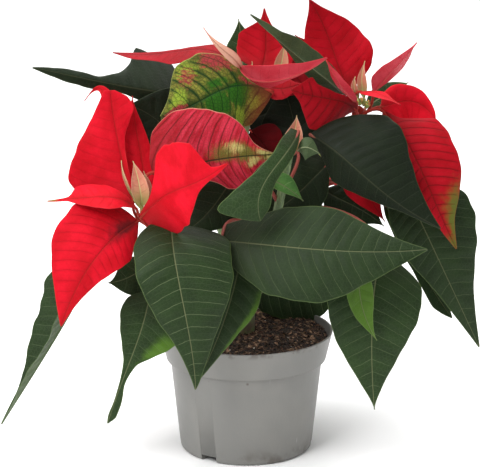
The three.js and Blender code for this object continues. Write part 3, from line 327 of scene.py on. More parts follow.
# ---------------------------------------------------------------------------------------------
# The soil. Dark peat pressed into the pot to just under the rim, with a crumbly crust and chips
# of bark and a few pale grains of perlite lying loose on it.
# ---------------------------------------------------------------------------------------------
SOIL_EDGE_RADIUS = 60.9
SOIL_LEVEL = 85.5
SOIL_CROWN = 2.4
SOIL_SETTLING = 0.8
SOIL_HEAP = 3.6
SOIL_HEAP_REACH = (-12.0, 48.0)
SOIL_RINGS = 46
SOIL_SEGMENTS = 150
SOIL_LOWER = [(58.0, 71.6), (55.0, 69.9), (47.5, 7.8), (45.5, 5.95)]
PEAT_DARK = (0.009, 0.0055, 0.0035, 1.0)
PEAT_BROWN = (0.085, 0.045, 0.024, 1.0)
PEAT_TAN = (0.4, 0.24, 0.14, 1.0)
PERLITE = (0.55, 0.5, 0.42, 1.0)
PERLITE_LIGHT = (0.75, 0.72, 0.66, 1.0)
# name; kind, number of shapes, first seed, size, flatness, length; surface, its colours, scale;
# number a square metre, smallest, largest, lean and seed of the strewing
LOOSE_BITS = (
    ("soil_crumbs", ("crumb", 4, 40, 0.75, 0.8, 1.0), ("crumbly_peat", PEAT_DARK, PEAT_BROWN, 260),
     (300000.0, 0.35, 1.5, 0.9, 5)),
    ("soil_chips", ("chip", 3, 60, 0.9, 0.3, 2.4), ("bark_chip", PEAT_BROWN, PEAT_TAN, 300),
     (85000.0, 0.4, 1.7, 0.6, 15)),
    ("soil_grains", ("grain", 2, 80, 0.7, 0.9, 1.0), ("perlite_grain", PERLITE, PERLITE_LIGHT, 500),
     (3500.0, 0.5, 1.3, 0.8, 25)),
)


def eased_step(value, low, high):
    part = min(1.0, max(0.0, (value - low) / (high - low)))
    return part * part * (3 - 2 * part)


def soil_height(x, y):
    """The crust's height: a low crown with a heap, hollows, clods and fine crumbs, in mm."""
    far = math.hypot(x, y) / SOIL_EDGE_RADIUS
    clods = noise.fractal(Vector((x / 17, y / 17, 3.1)), 1.0, 2.1, 3)
    crumbs = noise.fractal(Vector((x / 3.2, y / 3.2, 8.7)), 0.9, 2.2, 3)
    fade = min(1.0, 6 * (1 - far) + 0.25)
    heap = SOIL_HEAP * eased_step(y, *SOIL_HEAP_REACH)
    smooth = SOIL_LEVEL + SOIL_CROWN * (1 - far * far) - SOIL_SETTLING + heap
    return smooth + fade * (2.6 * clods + 1.0 * crumbs)


def soil_body():
    """The peat block and, as a mesh of its own, the crust that the loose bits lie on."""
    points = [(0, 0, soil_height(0, 0))]
    for ring in range(1, SOIL_RINGS + 1):
        radius = SOIL_EDGE_RADIUS * (ring / SOIL_RINGS) ** 0.9
        points += [(x, y, soil_height(x, y)) for x, y, _ in ring_at(radius, 0, SOIL_SEGMENTS)]
    for radius, height in SOIL_LOWER:
        points += ring_at(radius, height, SOIL_SEGMENTS)
    points.append((0, 0, SOIL_LOWER[-1][1]))
    turns = [(k, (k + 1) % SOIL_SEGMENTS) for k in range(SOIL_SEGMENTS)]
    faces = [(0, 1 + k, 1 + nxt) for k, nxt in turns]
    last = 1 + (SOIL_RINGS + len(SOIL_LOWER) - 1) * SOIL_SEGMENTS
    for inner in range(1, last, SOIL_SEGMENTS):
        outer = inner + SOIL_SEGMENTS
        faces += [(inner + k, outer + k, outer + nxt, inner + nxt) for k, nxt in turns]
    faces += [(last + nxt, last + k, len(points) - 1) for k, nxt in turns]
    crust_faces = faces[:SOIL_RINGS * SOIL_SEGMENTS]
    return mesh_of("soil_peat", points, faces), mesh_of("soil_crust", points, crust_faces)


def peat_surface(name, dark, light, scale):
    peat = Surface(name)
    where, clouds = peat.where, peat.clouds
    colour = peat.mix(clouds(where, scale, 5).rise(0.42, 0.68), dark, light)
    colour = peat.mix(clouds(where, 0.22 * scale).rise(0.5, 0.75), colour, dark)
    lumps = clouds(where, 1.6 * scale, 6, 0.7)
    return peat.finish(colour, lumps.times(0.2, 0.78), lumps, 0.0009)


def lump(name, seed, size, flat, long):
    """A small angular crumb of some twenty faces."""
    shaper = np.random.default_rng(seed)
    ring = 5
    points, faces = [(0, 0, -size * flat)], []
    for level in (-0.35, 0.4):
        for k in range(ring):
            angle = 2 * math.pi * (k + 0.5 * (level > 0)) / ring
            reach = size * shaper.uniform(0.7, 1.15)
            points.append((long * reach * math.cos(angle), reach * math.sin(angle),
                           size * flat * (level + shaper.uniform(-0.2, 0.2))))
    points.append((0, 0, size * flat))
    for k in range(ring):
        nxt = (k + 1) % ring
        faces += [(0, 1 + nxt, 1 + k), (1 + k, 1 + nxt, 1 + ring + k),
                  (1 + nxt, 1 + ring + nxt, 1 + ring + k), (1 + ring + k, 1 + ring + nxt, 2 * ring + 1)]
    return mesh_of(name, points, faces, smooth=False)


def growing_tree(name, inputs, material, seed, seat):
    """A node tree that sets parts, sized by chance, where seat says, and makes them one mesh."""
    tree = bpy.data.node_groups.new(name, "GeometryNodeTree")
    for label, kind in dict(inputs, Smallest="Float", Largest="Float").items():
        tree.interface.new_socket(label, in_out="INPUT", socket_type="NodeSocket" + kind)
    tree.interface.new_socket("Pieces", in_out="OUTPUT", socket_type="NodeSocketGeometry")
    given = put(tree, "NodeGroupInput").outputs
    size = put(tree, "FunctionNodeRandomValue",
               {2: given["Smallest"], 3: given["Largest"], "Seed": seed}, data_type="FLOAT")
    seated = put(tree, "GeometryNodeInstanceOnPoints", dict(seat(tree, given), Scale=size.outputs[1]))
    real = put(tree, "GeometryNodeRealizeInstances", {"Geometry": seated.outputs[0]})
    coated = put(tree, "GeometryNodeSetMaterial", {"Geometry": real.outputs[0], "Material": material})
    put(tree, "NodeGroupOutput", {0: coated.outputs[0]})
    return tree


def scatter_tree(name, material, seed):
    """Strews the kinds in a collection over a surface, each turned and sized by chance."""
    def seat(tree, given):
        spots = put(tree, "GeometryNodeDistributePointsOnFaces",
                    {"Mesh": given["Surface"], "Density": given["Density"], "Seed": seed})
        kinds = put(tree, "GeometryNodeCollectionInfo", {
            "Collection": given["Kinds"], "Separate Children": True, "Reset Children": True})
        lean = given["Lean"]
        back = Tone(tree, "ShaderNodeMath", {0: lean, 1: -1.0}, operation="MULTIPLY")
        low = Tone(tree, "ShaderNodeCombineXYZ", {0: back, 1: back, 2: 0.0})
        high = Tone(tree, "ShaderNodeCombineXYZ", {0: lean, 1: lean, 2: 2 * math.pi})
        turn = Tone(tree, "FunctionNodeRandomValue", {0: low, 1: high, "Seed": seed + 1},
                    data_type="FLOAT_VECTOR")
        return {"Points": spots.outputs["Points"], "Instance": kinds.outputs[0],
                "Pick Instance": True, "Rotation": turn}

    inputs = {"Surface": "Geometry", "Kinds": "Collection", "Density": "Float", "Lean": "Float"}
    return growing_tree(name, inputs, material, seed + 2, seat)


def grown(name, base_mesh, tree, values):
    """Runs a node tree over a mesh and keeps the result as a plain mesh."""
    thing = place(name, base_mesh)
    modifier = thing.modifiers.new("grow", "NODES")
    modifier.node_group = tree
    labels = {item.name: item.identifier for item in tree.interface.items_tree
              if item.item_type == "SOCKET" and item.in_out == "INPUT"}
    for label, value in values.items():
        modifier[labels[label]] = value
    return settled(thing)


soil_mesh, crust = soil_body()
soil = place("soil_peat", soil_mesh)
soil.data.materials.append(peat_surface("dark_peat", PEAT_DARK, PEAT_BROWN, 420))
mount(soil, "soil")

for label, (kind, count, first, *form), colours, (density, small, large, lean, seed) in LOOSE_BITS:
    group = bpy.data.collections.new(label + "_kinds")
    bpy.context.scene.collection.children.link(group)
    for k in range(count):
        shape = lump("%s_%d" % (kind, k), first + k, *form)
        group.objects.link(bpy.data.objects.new(shape.name, shape))
    tree = scatter_tree(label + "_strewing", peat_surface(*colours), seed)
    values = {"Kinds": group, "Density": density, "Smallest": small, "Largest": large, "Lean": lean}
    mount(grown(label, crust.copy(), tree, values))
    for thing in list(group.objects):
        bpy.data.objects.remove(thing)
    bpy.data.collections.remove(group)

# ---------------------------------------------------------------------------------------------
# The stems. One short woody trunk comes up through the peat and forks into six green shoots,
# five of which end in a flower head. Leaf nodes swell each shoot a little as it grows.
# ---------------------------------------------------------------------------------------------
SHOOTS = {
    "left": {"head": [-70, -52, 193], "axis": [-0.45, -0.35, 0.82], "via": [-36, -22, 148]},
    "top": {"head": [2, -10, 280], "axis": [0.05, -0.15, 0.98], "via": [-6, 2, 190]},
    "right": {"head": [84, 6, 260], "axis": [0.45, 0.05, 0.9], "via": [44, 8, 178]},
    "back_left": {"head": [-34, 78, 240], "axis": [-0.25, 0.5, 0.83], "via": [-20, 40, 165]},
    "back_right": {"head": [58, 74, 205], "axis": [0.35, 0.5, 0.79], "via": [34, 42, 150]},
    "front": {"head": [38, -46, 254], "axis": [0.3, -0.5, 0.8], "via": [18, -14, 165]},
}
STEM_FORK = (1, 4, 108)
TRUNK_LINE = [(0, 4, 62), STEM_FORK, (1, 4, 114)]
TRUNK_RADII = (6.0, 5.2)
SHOOT_RADII = (4.1, 2.9)
TRUNK_RINGS = 30
SHOOT_RINGS = 70
CORE_LENGTH = 20.0
CORE_RADII = [(-CORE_LENGTH, 2.9), (-12, 3.1), (-3, 3.5), (-0.4, 2.6), (0, 0.9)]
STEM_SIDES = 22
NODE_SPACING = 15.0
NODE_SWELL = 0.3
NODE_LENGTH = 1.7
STEM_GREEN = (0.075, 0.13, 0.04, 1.0)
STEM_LIGHT = (0.19, 0.26, 0.1, 1.0)
STEM_BARK = (0.13, 0.095, 0.06, 1.0)


def unit(vectors):
    return vectors / np.linalg.norm(vectors, axis=-1, keepdims=True)


def bent_through(points, share):
    """A place on the smooth curve through the points, from 0 at the first to 1 at the last."""
    points = [np.array(p, float) for p in points]
    points = [2 * points[0] - points[1]] + points + [2 * points[-1] - points[-2]]
    spans = len(points) - 3
    step = min(int(share * spans), spans - 1)
    w = share * spans - step
    before, start, end, after = points[step:step + 4]
    leave, arrive = 0.5 * (end - before), 0.5 * (after - start)
    bend = -3 * start + 3 * end - 2 * leave - arrive
    return start + leave * w + bend * w * w + (2 * start - 2 * end + leave + arrive) * w ** 3


def head_place(shoot, drop=0.0):
    """A place on a shoot's axis, at a distance below the middle of its flower head."""
    row = SHOOTS[shoot]
    return np.array(row["head"], float) - drop * unit(np.array(row["axis"], float))


def shoot_line(shoot):
    return [STEM_FORK, SHOOTS[shoot]["via"], head_place(shoot, CORE_LENGTH + 0.3)]


def on(shoot, share):
    return bent_through(shoot_line(shoot), share)


def tube(line, radii, sides):
    """A closed round limb along a line of points; returns its points and faces."""
    line, radii = np.asarray(line, float), np.asarray(radii, float)
    along = unit(np.gradient(line, axis=0))
    side = unit(np.cross(along[0], (0.3, 0.9, 0.3)))
    turns = np.linspace(0, 2 * np.pi, sides, endpoint=False)
    points, faces = [], []
    for centre, forward, radius in zip(line, along, radii):
        side = unit(side - forward * np.dot(side, forward))
        up = np.cross(side, forward)
        points.append(centre + radius * (np.cos(turns)[:, None] * side + np.sin(turns)[:, None] * up))
    points = np.concatenate(points + [line[:1], line[-1:]])
    rings = len(line)
    for ring in range(rings - 1):
        for k in range(sides):
            nxt, low, high = (k + 1) % sides, ring * sides, (ring + 1) * sides
            faces.append((low + k, low + nxt, high + nxt, high + k))
    for k in range(sides):
        nxt, last = (k + 1) % sides, (rings - 1) * sides
        faces += [(nxt, k, rings * sides), (last + k, last + nxt, rings * sides + 1)]
    return points, faces


def outward(points, faces):
    """The faces, all turned round if the closed body they make is inside out."""
    volume = 0.0
    for face in faces:
        a = points[face[0]]
        for k in range(1, len(face) - 1):
            volume += np.dot(a, np.cross(points[face[k]], points[face[k + 1]]))
    return faces if volume > 0 else [tuple(reversed(face)) for face in faces]


def joined(name, parts):
    """One mesh, in metres, from closed parts and the values that they carry at each point."""
    points, faces, total = [], [], 0
    for part in parts:
        sound = outward(part["points"], part["faces"])
        faces += [tuple(total + k for k in face) for face in sound]
        points.append(part["points"])
        total += len(part["points"])
    mesh = mesh_of(name, np.concatenate(points), faces)
    for key in parts[0].get("values", {}):
        values = np.concatenate([np.broadcast_to(part["values"][key], len(part["points"]))
                                 for part in parts])
        mesh.attributes.new(key, "FLOAT", "POINT").data.foreach_set("value", values.astype(np.float32))
    if "flat" in parts[0]:
        corners = np.empty(len(mesh.loops), np.int32)
        mesh.loops.foreach_get("vertex_index", corners)
        flat = np.concatenate([part["flat"] for part in parts])[corners]
        mesh.uv_layers.new(name="flat").data.foreach_set("uv", flat.astype(np.float32).ravel())
    return mesh


def limb(line, start, end, rings, seed):
    """A shoot that thins along its way and swells at each leaf node."""
    shares = np.linspace(0, 1, rings)
    places = np.array([bent_through(line, t) for t in shares])
    gone = np.concatenate([[0], np.cumsum(np.linalg.norm(np.diff(places, axis=0), axis=1))])
    from_node = (gone + 4 * seed) % NODE_SPACING - NODE_SPACING / 2
    swell = NODE_SWELL * np.exp(-(from_node / NODE_LENGTH) ** 2)
    radii = start + (end - start) * shares + swell
    radii[-1] *= 0.9
    points, faces = tube(places, radii, STEM_SIDES)
    return {"points": points, "faces": faces}


def stem_skin():
    green = Surface("poinsettia_stem")
    clouds = green.clouds
    streaks = clouds(green.stretched((500, 500, 70)), 1.0)
    colour = green.mix(streaks.rise(0.4, 0.7), STEM_GREEN, STEM_LIGHT)
    bark = green.height().fall(0.095, 0.14) * clouds(green.where, 130).rise(0.25, 0.6)
    colour = green.mix(bark, colour, STEM_BARK)
    return green.finish(colour, streaks.times(0.2, 0.42), streaks + clouds(green.where, 700), 0.0004)


stem_parts = [limb(TRUNK_LINE, *TRUNK_RADII, TRUNK_RINGS, 1)]
for number, shoot in enumerate(SHOOTS):
    stem_parts.append(limb(shoot_line(shoot), *SHOOT_RADII, SHOOT_RINGS, number))
stem = place("stem_and_shoots", joined("stem_and_shoots", stem_parts))
stem.data.materials.append(stem_skin())
mount(stem, "stem")

# ---------------------------------------------------------------------------------------------
# The green leaves. Each is a pointed oval blade half a millimetre thick on a round stalk, with
# a midrib that stands out underneath, pairs of pale veins that curve towards the margin and
# skin that puckers between them. They grow out of the shoots below the flower heads.
# ---------------------------------------------------------------------------------------------
LEAF_THICKNESS = 0.55
STALK_RADIUS = 1.25
STALK_SIDES = 12
STALK_UNDER_BLADE = 9.0
MIDRIB_DEPTH = 1.0
WAVE_PHASE = 1.9
LANE_PLACES = [0, 0.012, 0.03, 0.06, 0.11, 0.17, 0.24, 0.32, 0.4, 0.49, 0.58, 0.67, 0.76, 0.85, 0.92, 0.97, 1]
LEAF_BUILD = {"spacing": 9.2, "slant": 0.36, "arch": 0.24, "pucker": 0.75, "row": 1.4, "rows": (24, 84)}
# most pieces get a random tone within this spread; the brightness values set on single leaves and bracts
# below are painted light and shade, darker for pieces in the plant's shaded middle and brighter for a few lit
# ones
TINT_SPREAD = 0.1
LEAST_HALF_WIDTH = 0.35
MARGIN_RIPPLE = 0.014
ROUND_VALUES = dict(dict.fromkeys(("vein", "rib", "turn", "pale", "blush", "tint", "veined", "along"), 0.0),
                    edge=9.0, side=1.0)
# each rib runs through the blade's foot, a third, two thirds and its tip; half is the width left
# and right of the rib and outline gives it at places along the rib; angles are in degrees
LEAVES = {
    "leaf_front_middle": {"foot": on("front", 0.5), "knee": [-17, -40, 200], "outline": [[0, 13, 6],
          [0.06, 17.3, 17], [0.16, 24, 27.2], [0.28, 30.5, 36], [0.42, 32.7, 38.1], [0.56, 30, 33.8],
          [0.7, 22.5, 23.6], [0.86, 10, 10.7], [1, 0.5, 0.5]],
        "rib": [[-17, -66, 177], [31, -84, 177], [78, -92, 176], [127, -86, 176]], "veined": 1.0,
        "tint": -0.18, "face": [0, -0.8, 0.6], "fold": [4, -4], "curl": [-8, -18], "wave": [1.5, 2]},
    "leaf_front_left": {"foot": on("left", 0.85), "knee": [-50, -52, 190], "outline": [[0, 33, 14],
          [0.07, 38, 23], [0.16, 41, 28], [0.28, 40.2, 28.4], [0.42, 37.7, 25.5], [0.55, 31, 20.5],
          [0.7, 19, 11.5], [0.86, 8, 5], [1, 0.5, 0.5]],
        "rib": [[-53, -66, 189], [-48, -98, 161], [-40, -102, 118], [-36, -94, 75]], "veined": 1.6,
        "slant": 0.14, "face": [0.1, -0.95, 0.3], "fold": [4, 4], "curl": [-18, -18], "wave": [1.5, 2]},
    "leaf_right_upper": {"foot": on("right", 0.8), "knee": [46, -4, 242], "outline": [[0, 2, 2],
          [0.06, 16, 7], [0.18, 33, 14.2], [0.33, 44.5, 22.5], [0.5, 42.3, 17.6], [0.66, 32, 11],
          [0.82, 18, 4], [1, 0.5, 0.5]],
        "rib": [[46, -29, 246], [71, -50, 232], [99, -58, 209], [139, -54, 183]], "veined": 0.6,
        "tint": -0.72, "face": [-0.05, -0.9, 0.45], "fold": [2, -42], "curl": [-10, -10], "wave": [1.5, 2]},
    "leaf_centre_folded": {"foot": on("front", 0.98), "knee": [36, -44, 244], "outline": [[0, 1.5, 6],
          [0.16, 5.5, 8.5], [0.35, 7, 7.4], [0.55, 7.8, 9], [0.7, 9.3, 14], [0.8, 10, 20.5],
          [0.88, 9.3, 28.5], [0.93, 7.6, 17], [1, 0.5, 0.5]],
        "rib": [[37, -50, 253], [24, -72, 237], [11, -88, 221], [10, -92, 198]], "veined": 0.15,
        "tint": 0.15, "face": [0, -0.97, 0.25], "fold": [-20, 6], "curl": [-10, -8]},
    "leaf_front_right": {"foot": on("right", 0.55), "knee": [90, -32, 190], "half": [35, 34],
        "widest": 0.28, "rib": [[97, -55, 167], [91, -68, 134], [90, -74, 94], [93, -68, 51]],
        "veined": 0.8, "tint": 0.1, "face": [0, -0.97, 0.25], "fold": [4, 4], "curl": [-14, -18],
        "wave": [1.5, 2]},
    "leaf_front_small": {"foot": on("front", 0.35), "knee": [64, -60, 176], "half": [10, 11],
        "widest": 0.35, "rib": [[79, -78, 165], [80, -82, 145], [84, -84, 127], [93, -83, 108]],
        "veined": 0.4, "tint": 0.1, "turned": [[0.6, 0, 2, 3, 0.75]], "face": [0, -0.95, 0.3],
        "fold": [-10, 20], "curl": [0, 20]},
    "leaf_far_right": {"foot": on("right", 0.9), "knee": [104, 4, 224], "outline": [[0, 2, 2],
          [0.05, 15, 8], [0.12, 24, 15], [0.2, 32.4, 19], [0.3, 39.7, 22], [0.42, 40.5, 22],
          [0.56, 34.5, 18.5], [0.7, 22.9, 12.5], [0.84, 11, 7], [1, 0.5, 0.5]],
        "rib": [[114, -5, 207], [128, -12, 178], [148, -14, 136], [175, -4, 78]], "veined": 0.7,
        "tint": -0.15, "face": [0.15, -0.95, 0.25], "fold": [2, 2], "curl": [-12, -12], "wave": [1.5, 2]},
    "leaf_right_folded": {"foot": on("right", 0.7), "knee": [96, 22, 196], "outline": [[0, 1.3, 1.3],
          [0.12, 8, 3.8], [0.25, 11, 4.7], [0.4, 12, 6], [0.55, 11, 6], [0.7, 8, 7], [0.82, 6, 8],
          [0.9, 4, 5.6], [1, 0.5, 0.5]],
        "rib": [[104, 24, 181], [118, 22, 155], [137, 19, 123], [156, 15, 95]], "veined": 0.4, "tint": -0.2,
        "turned": [[0.15, 0, 0.3, 1.5, 0.6]], "face": [-0.4, -0.85, 0.3], "fold": [12, 34],
        "curl": [10, 10]},
    "leaf_far_left": {"foot": on("left", 0.9), "knee": [-88, -44, 174], "outline": [[0, 1.3, 1.3],
          [0.08, 12, 20], [0.2, 18, 28], [0.3, 20.5, 29.6], [0.4, 21.5, 28], [0.5, 21, 24.5],
          [0.62, 17.5, 17], [0.75, 12.5, 10], [0.88, 7, 4], [1, 0.5, 0.5]],
        "rib": [[-105, -46, 165], [-124, -54, 127], [-147, -60, 88], [-179, -58, 36]], "veined": 0.8,
        "face": [-0.8, 0, 0.6], "fold": [17, 53], "curl": [5, 0], "wave": [1.5, 2.5]},
    "leaf_left_waisted": {"foot": on("left", 0.6), "knee": [-62, -50, 150], "outline": [[0, 1.3, 1.3],
          [0.08, 12.6, 15], [0.2, 26, 18.3], [0.3, 29, 16.2], [0.4, 23.7, 13.1], [0.5, 14, 8.9],
          [0.6, 5.3, 4.4], [0.74, 2.7, 1.8], [0.88, 5, 0.9], [0.95, 4.7, 1.5], [1, 0.5, 0.5]],
        "rib": [[-69, -58, 138], [-76, -66, 109], [-87, -68, 79], [-101, -62, 38]], "veined": 0.4,
        "tint": 0.15, "turned": [[0.42, -0.85, 0.12, 0.35, 1.0]], "face": [0, -0.97, 0.25], "fold": [0, 10],
        "curl": [-10, -14]},
    "leaf_left_small": {"foot": on("left", 0.7), "knee": [-56, -36, 160], "half": [15, 14], "widest": 0.58,
        "rib": [[-64, -40, 155], [-75, -45, 150], [-86, -47, 144], [-100, -46, 140]], "veined": 0.4,
        "tint": -0.1, "face": [0, -0.9, 0.4], "curl": [-12, -12]},
    "leaf_front_under": {"foot": on("left", 0.35), "knee": [-6, -46, 178], "outline": [[0, 2, 2],
          [0.08, 12, 12], [0.2, 19, 20], [0.33, 20.2, 23], [0.45, 18.5, 22], [0.55, 13.7, 18],
          [0.66, 9.7, 13], [0.8, 5.2, 8], [0.9, 2.7, 4], [1, 0.5, 0.5]],
        "rib": [[-4, -60, 165], [-10, -74, 139], [-21, -80, 107], [-36, -78, 75]], "veined": 0.4,
        "tint": -0.2, "turned": [[0.5, -0.95, 0.22, 0.16, 1.0]], "face": [0, -0.97, 0.25], "fold": [2, 2],
        "curl": [-14, -14], "wave": [1.5, 2]},
    "leaf_middle_shaded": {"foot": on("top", 0.5), "knee": [-6, -14, 224], "half": [20, 22], "widest": 0.4,
        "rib": [[-7, -22, 217], [-18, -28, 201], [-30, -34, 187], [-45, -38, 176]], "veined": 0.4,
        "tint": -0.5, "face": [0, -0.9, 0.4], "curl": [-12, -12]},
    "leaf_left_high": {"foot": on("top", 0.8), "knee": [-26, 22, 262], "outline": [[0, 2, 2],
          [0.1, 8.5, 27], [0.2, 9.7, 31], [0.33, 7.5, 36.5], [0.37, 6.5, 21], [0.46, 5.3, 10],
          [0.6, 6.5, 4.5], [0.72, 6, 5.5], [0.88, 3.5, 3.5], [1, 0.5, 0.5]],
        "rib": [[-46, 30, 264], [-83, 24, 270], [-119, 14, 279], [-156, 4, 289]], "veined": 0.15,
        "tint": -0.6, "face": [0, -0.7, 0.7], "fold": [-50, 4], "curl": [-10, -6]},
    "leaf_left_inner": {"foot": on("top", 0.55), "knee": [-30, 12, 216], "half": [22, 31], "widest": 0.5,
        "rib": [[-45, 18, 224], [-57, 22, 237], [-70, 22, 249], [-88, 18, 259]], "veined": 0.1,
        "tint": -0.75, "face": [0, -0.95, 0.3], "curl": [-10, -10]},
    "leaf_top_behind": {"foot": on("top", 0.9), "knee": [-2, 30, 258], "half": [13, 14], "widest": 0.4,
        "rib": [[-2, 36, 274], [-3, 42, 288], [-4, 46, 302], [-6, 48, 318]], "face": [0, -0.97, 0.25],
        "curl": [10, 10]},
    "leaf_top_pale": {"foot": on("right", 0.84), "knee": [66, -4, 252], "outline": [[0, 2, 2],
          [0.12, 7, 8.7], [0.28, 9.8, 10.3], [0.42, 12, 9.3], [0.56, 12.2, 6], [0.68, 11, 3],
          [0.78, 7, 1.2], [0.9, 3.9, 0.8], [1, 0.5, 0.5]],
        "rib": [[72, -2, 271], [53, -19, 289], [29, -29, 310], [3, -28, 333]], "veined": 0.5, "tint": -0.5,
        "face": [-0.3, 0.5, 0.8], "curl": [14, 14]},
    "leaf_top_inner": {"foot": on("top", 0.82), "knee": [4, 22, 258],
        "outline": [[0, 2, 10], [0.1, 9, 20], [0.25, 14, 24], [0.42, 15, 24], [0.7, 10, 15], [1, 0.5, 0.5]],
        "rib": [[2, 27, 246], [18, 31, 251], [36, 34, 260], [52, 34, 267]], "veined": 0.3, "tint": -0.8,
        "face": [0, -0.97, 0.25], "curl": [-8, -8]},
    "leaf_right_behind": {"foot": on("right", 0.92), "knee": [84, 18, 250], "half": [9, 9], "widest": 0.4,
        "rib": [[89, 28, 255], [100, 34, 261], [111, 37, 267], [121, 37, 272]], "tint": 0.5,
        "face": [0, -0.9, 0.45], "curl": [-8, -8]},
    "leaf_centre_bright": {"foot": on("front", 0.7), "knee": [12, -32, 216], "half": [9, 5], "widest": 0.45,
        "rib": [[14, -40, 218], [22, -46, 215], [31, -48, 210], [41, -46, 201]], "face": [0, -0.9, 0.45],
        "curl": [-8, -8]},
    "leaf_right_shaded": {"foot": on("right", 0.6), "knee": [50, 16, 204], "half": [16, 18], "widest": 0.45,
        "rib": [[58, 20, 194], [71, 16, 187], [86, 12, 180], [103, 10, 168]], "veined": 0.5, "tint": -0.45,
        "face": [0, -0.9, 0.45], "curl": [-10, -10]},
    "leaf_centre_pale": {"foot": on("front", 0.95), "knee": [34, -44, 236], "half": [9, 8], "widest": 0.45,
        "rib": [[37, -50, 239], [41, -54, 242], [46, -54, 241], [52, -52, 237]], "tint": -0.4,
        "face": [0, 0.9, -0.45], "curl": [8, 8]},
    "leaf_middle_inner": {"foot": on("front", 0.75), "knee": [40, -14, 222], "half": [24, 22],
        "widest": 0.45, "rib": [[38, -4, 227], [36, -1, 243], [32, 4, 260], [26, 8, 278]], "veined": 0.3,
        "tint": -0.75, "face": [0, -0.97, 0.25], "curl": [-8, -8]},
    "leaf_middle_low": {"foot": on("right", 0.62), "knee": [62, 4, 214],
        "outline": [[0, 2, 14], [0.1, 8, 24], [0.3, 17, 28], [0.5, 19, 24], [0.8, 12, 12], [1, 0.5, 0.5]],
        "rib": [[60, 0, 218], [45, -6, 204], [28, -12, 190], [4, -14, 176]], "veined": 0.4, "tint": -0.5,
        "face": [0, -0.9, 0.4], "curl": [-10, -10]},
    "leaf_middle_deep": {"foot": on("top", 0.35), "knee": [-14, 16, 200], "half": [19, 19], "widest": 0.42,
        "rib": [[-10, 20, 206], [6, 23, 198], [22, 25, 188], [40, 24, 176]], "tint": -0.5,
        "face": [0, -0.9, 0.4], "curl": [-10, -10]},
    "leaf_under_front": {"foot": on("right", 0.15), "knee": [4, 30, 132], "outline": [[0, 2, 8],
          [0.1, 12, 22], [0.25, 20, 29], [0.45, 23, 29], [0.65, 20, 27], [0.82, 12, 24], [0.93, 5, 16],
          [1, 0.5, 0.5]], "rib": [[8, 38, 126], [26, 43, 118], [46, 44, 111], [70, 40, 104]],
        "face": [0, -0.9, 0.45], "curl": [-10, -10]},
    "leaf_centre_pink": {"foot": on("front", 0.85), "knee": [30, -30, 228], "half": [8, 9], "widest": 0.3,
        "rib": [[31, -34, 234], [33, -35, 243], [35, -35, 252], [36, -33, 261]], "face": [0, -0.97, 0.25],
        "fold": [20, 20], "curl": [20, 20]},
}
BACK_LEAVES = {
    "leaf_back_left_low": {"foot": on("back_left", 0.45), "from": [-36, 60, 182], "azimuth": 150,
        "length": 78, "rise": -50, "arch": 8, "half": 27},
    "leaf_back_left_out": {"foot": on("back_left", 0.75), "from": [-52, 62, 216], "azimuth": 182,
        "length": 68, "rise": -20, "arch": 8, "half": 22},
    "leaf_back_middle": {"foot": on("back_left", 0.6), "from": [-16, 82, 184], "azimuth": 95, "length": 80,
        "rise": -62, "arch": 8, "half": 30},
    "leaf_back_under": {"foot": on("back_right", 0.3), "from": [42, 60, 142], "azimuth": 90, "length": 44,
        "rise": -76, "arch": 10, "half": 35, "lean": 1},
    "leaf_back_right_low": {"foot": on("back_right", 0.5), "from": [50, 68, 158], "azimuth": 58,
        "length": 70, "rise": -60, "arch": 8, "half": 27},
    "leaf_back_right_out": {"foot": on("back_right", 0.8), "from": [74, 76, 186], "azimuth": 8,
        "length": 70, "rise": -40, "arch": 8, "half": 26},
    "leaf_back_top": {"foot": on("top", 0.6), "from": [4, 36, 216], "azimuth": 86, "length": 62,
        "rise": -30, "arch": 8, "half": 24},
    "leaf_back_right_high": {"foot": on("right", 0.75), "from": [88, 30, 224], "azimuth": 36, "length": 62,
        "rise": -44, "arch": 8, "half": 22},
}


def smooth_between(places, values, at):
    """A curve through the values that never overshoots them."""
    places, values = np.array(places, float), np.array(values, float)
    gap = np.diff(places)
    slope = np.diff(values) / gap
    lean = np.zeros(len(values))
    lean[0], lean[-1] = slope[0], slope[-1]
    for k in range(1, len(values) - 1):
        if slope[k - 1] * slope[k] > 0:
            first, second = 2 * gap[k] + gap[k - 1], gap[k] + 2 * gap[k - 1]
            lean[k] = (first + second) / (first / slope[k - 1] + second / slope[k])
    spot = np.clip(np.searchsorted(places, at, side="right") - 1, 0, len(gap) - 1)
    t = (at - places[spot]) / gap[spot]
    h = gap[spot]
    return ((1 + 2 * t) * (1 - t) ** 2 * values[spot] + t * (1 - t) ** 2 * h * lean[spot]
            + t * t * (3 - 2 * t) * values[spot + 1] - t * t * (1 - t) * h * lean[spot + 1])


def half_width(row, u, side):
    """The width from the rib to the left, 1, or right, 2, margin at places along the rib."""
    if "outline" in row:
        table = np.array(row["outline"], float)
        return smooth_between(table[:, 0], table[:, side], u)
    half, widest = row["half"][side - 1], row.get("widest", 0.35)
    foot = half * np.sin(np.pi / 2 * np.clip(u / widest, 0, 1) ** 0.85)
    rest = np.clip((u - widest) / (1 - widest), 0, 1)
    tip = half * np.maximum(np.cos(np.pi / 2 * rest ** 1.05), 0) ** 1.4
    return np.where(u < widest, foot, tip)


def rib_line(rib, u):
    """Places along the midrib and the way that it runs there."""
    p, q, r, s = (np.array(place, float) for place in rib)
    near, far = (-5 * p + 18 * q - 9 * r + 2 * s) / 6, (2 * p - 9 * q + 18 * r - 5 * s) / 6
    u = np.asarray(u, float)[:, None]
    at = (1 - u) ** 3 * p + 3 * (1 - u) ** 2 * u * near + 3 * (1 - u) * u * u * far + u ** 3 * s
    along = (1 - u) ** 2 * (near - p) + 2 * (1 - u) * u * (far - near) + u * u * (s - far)
    return at, unit(along)


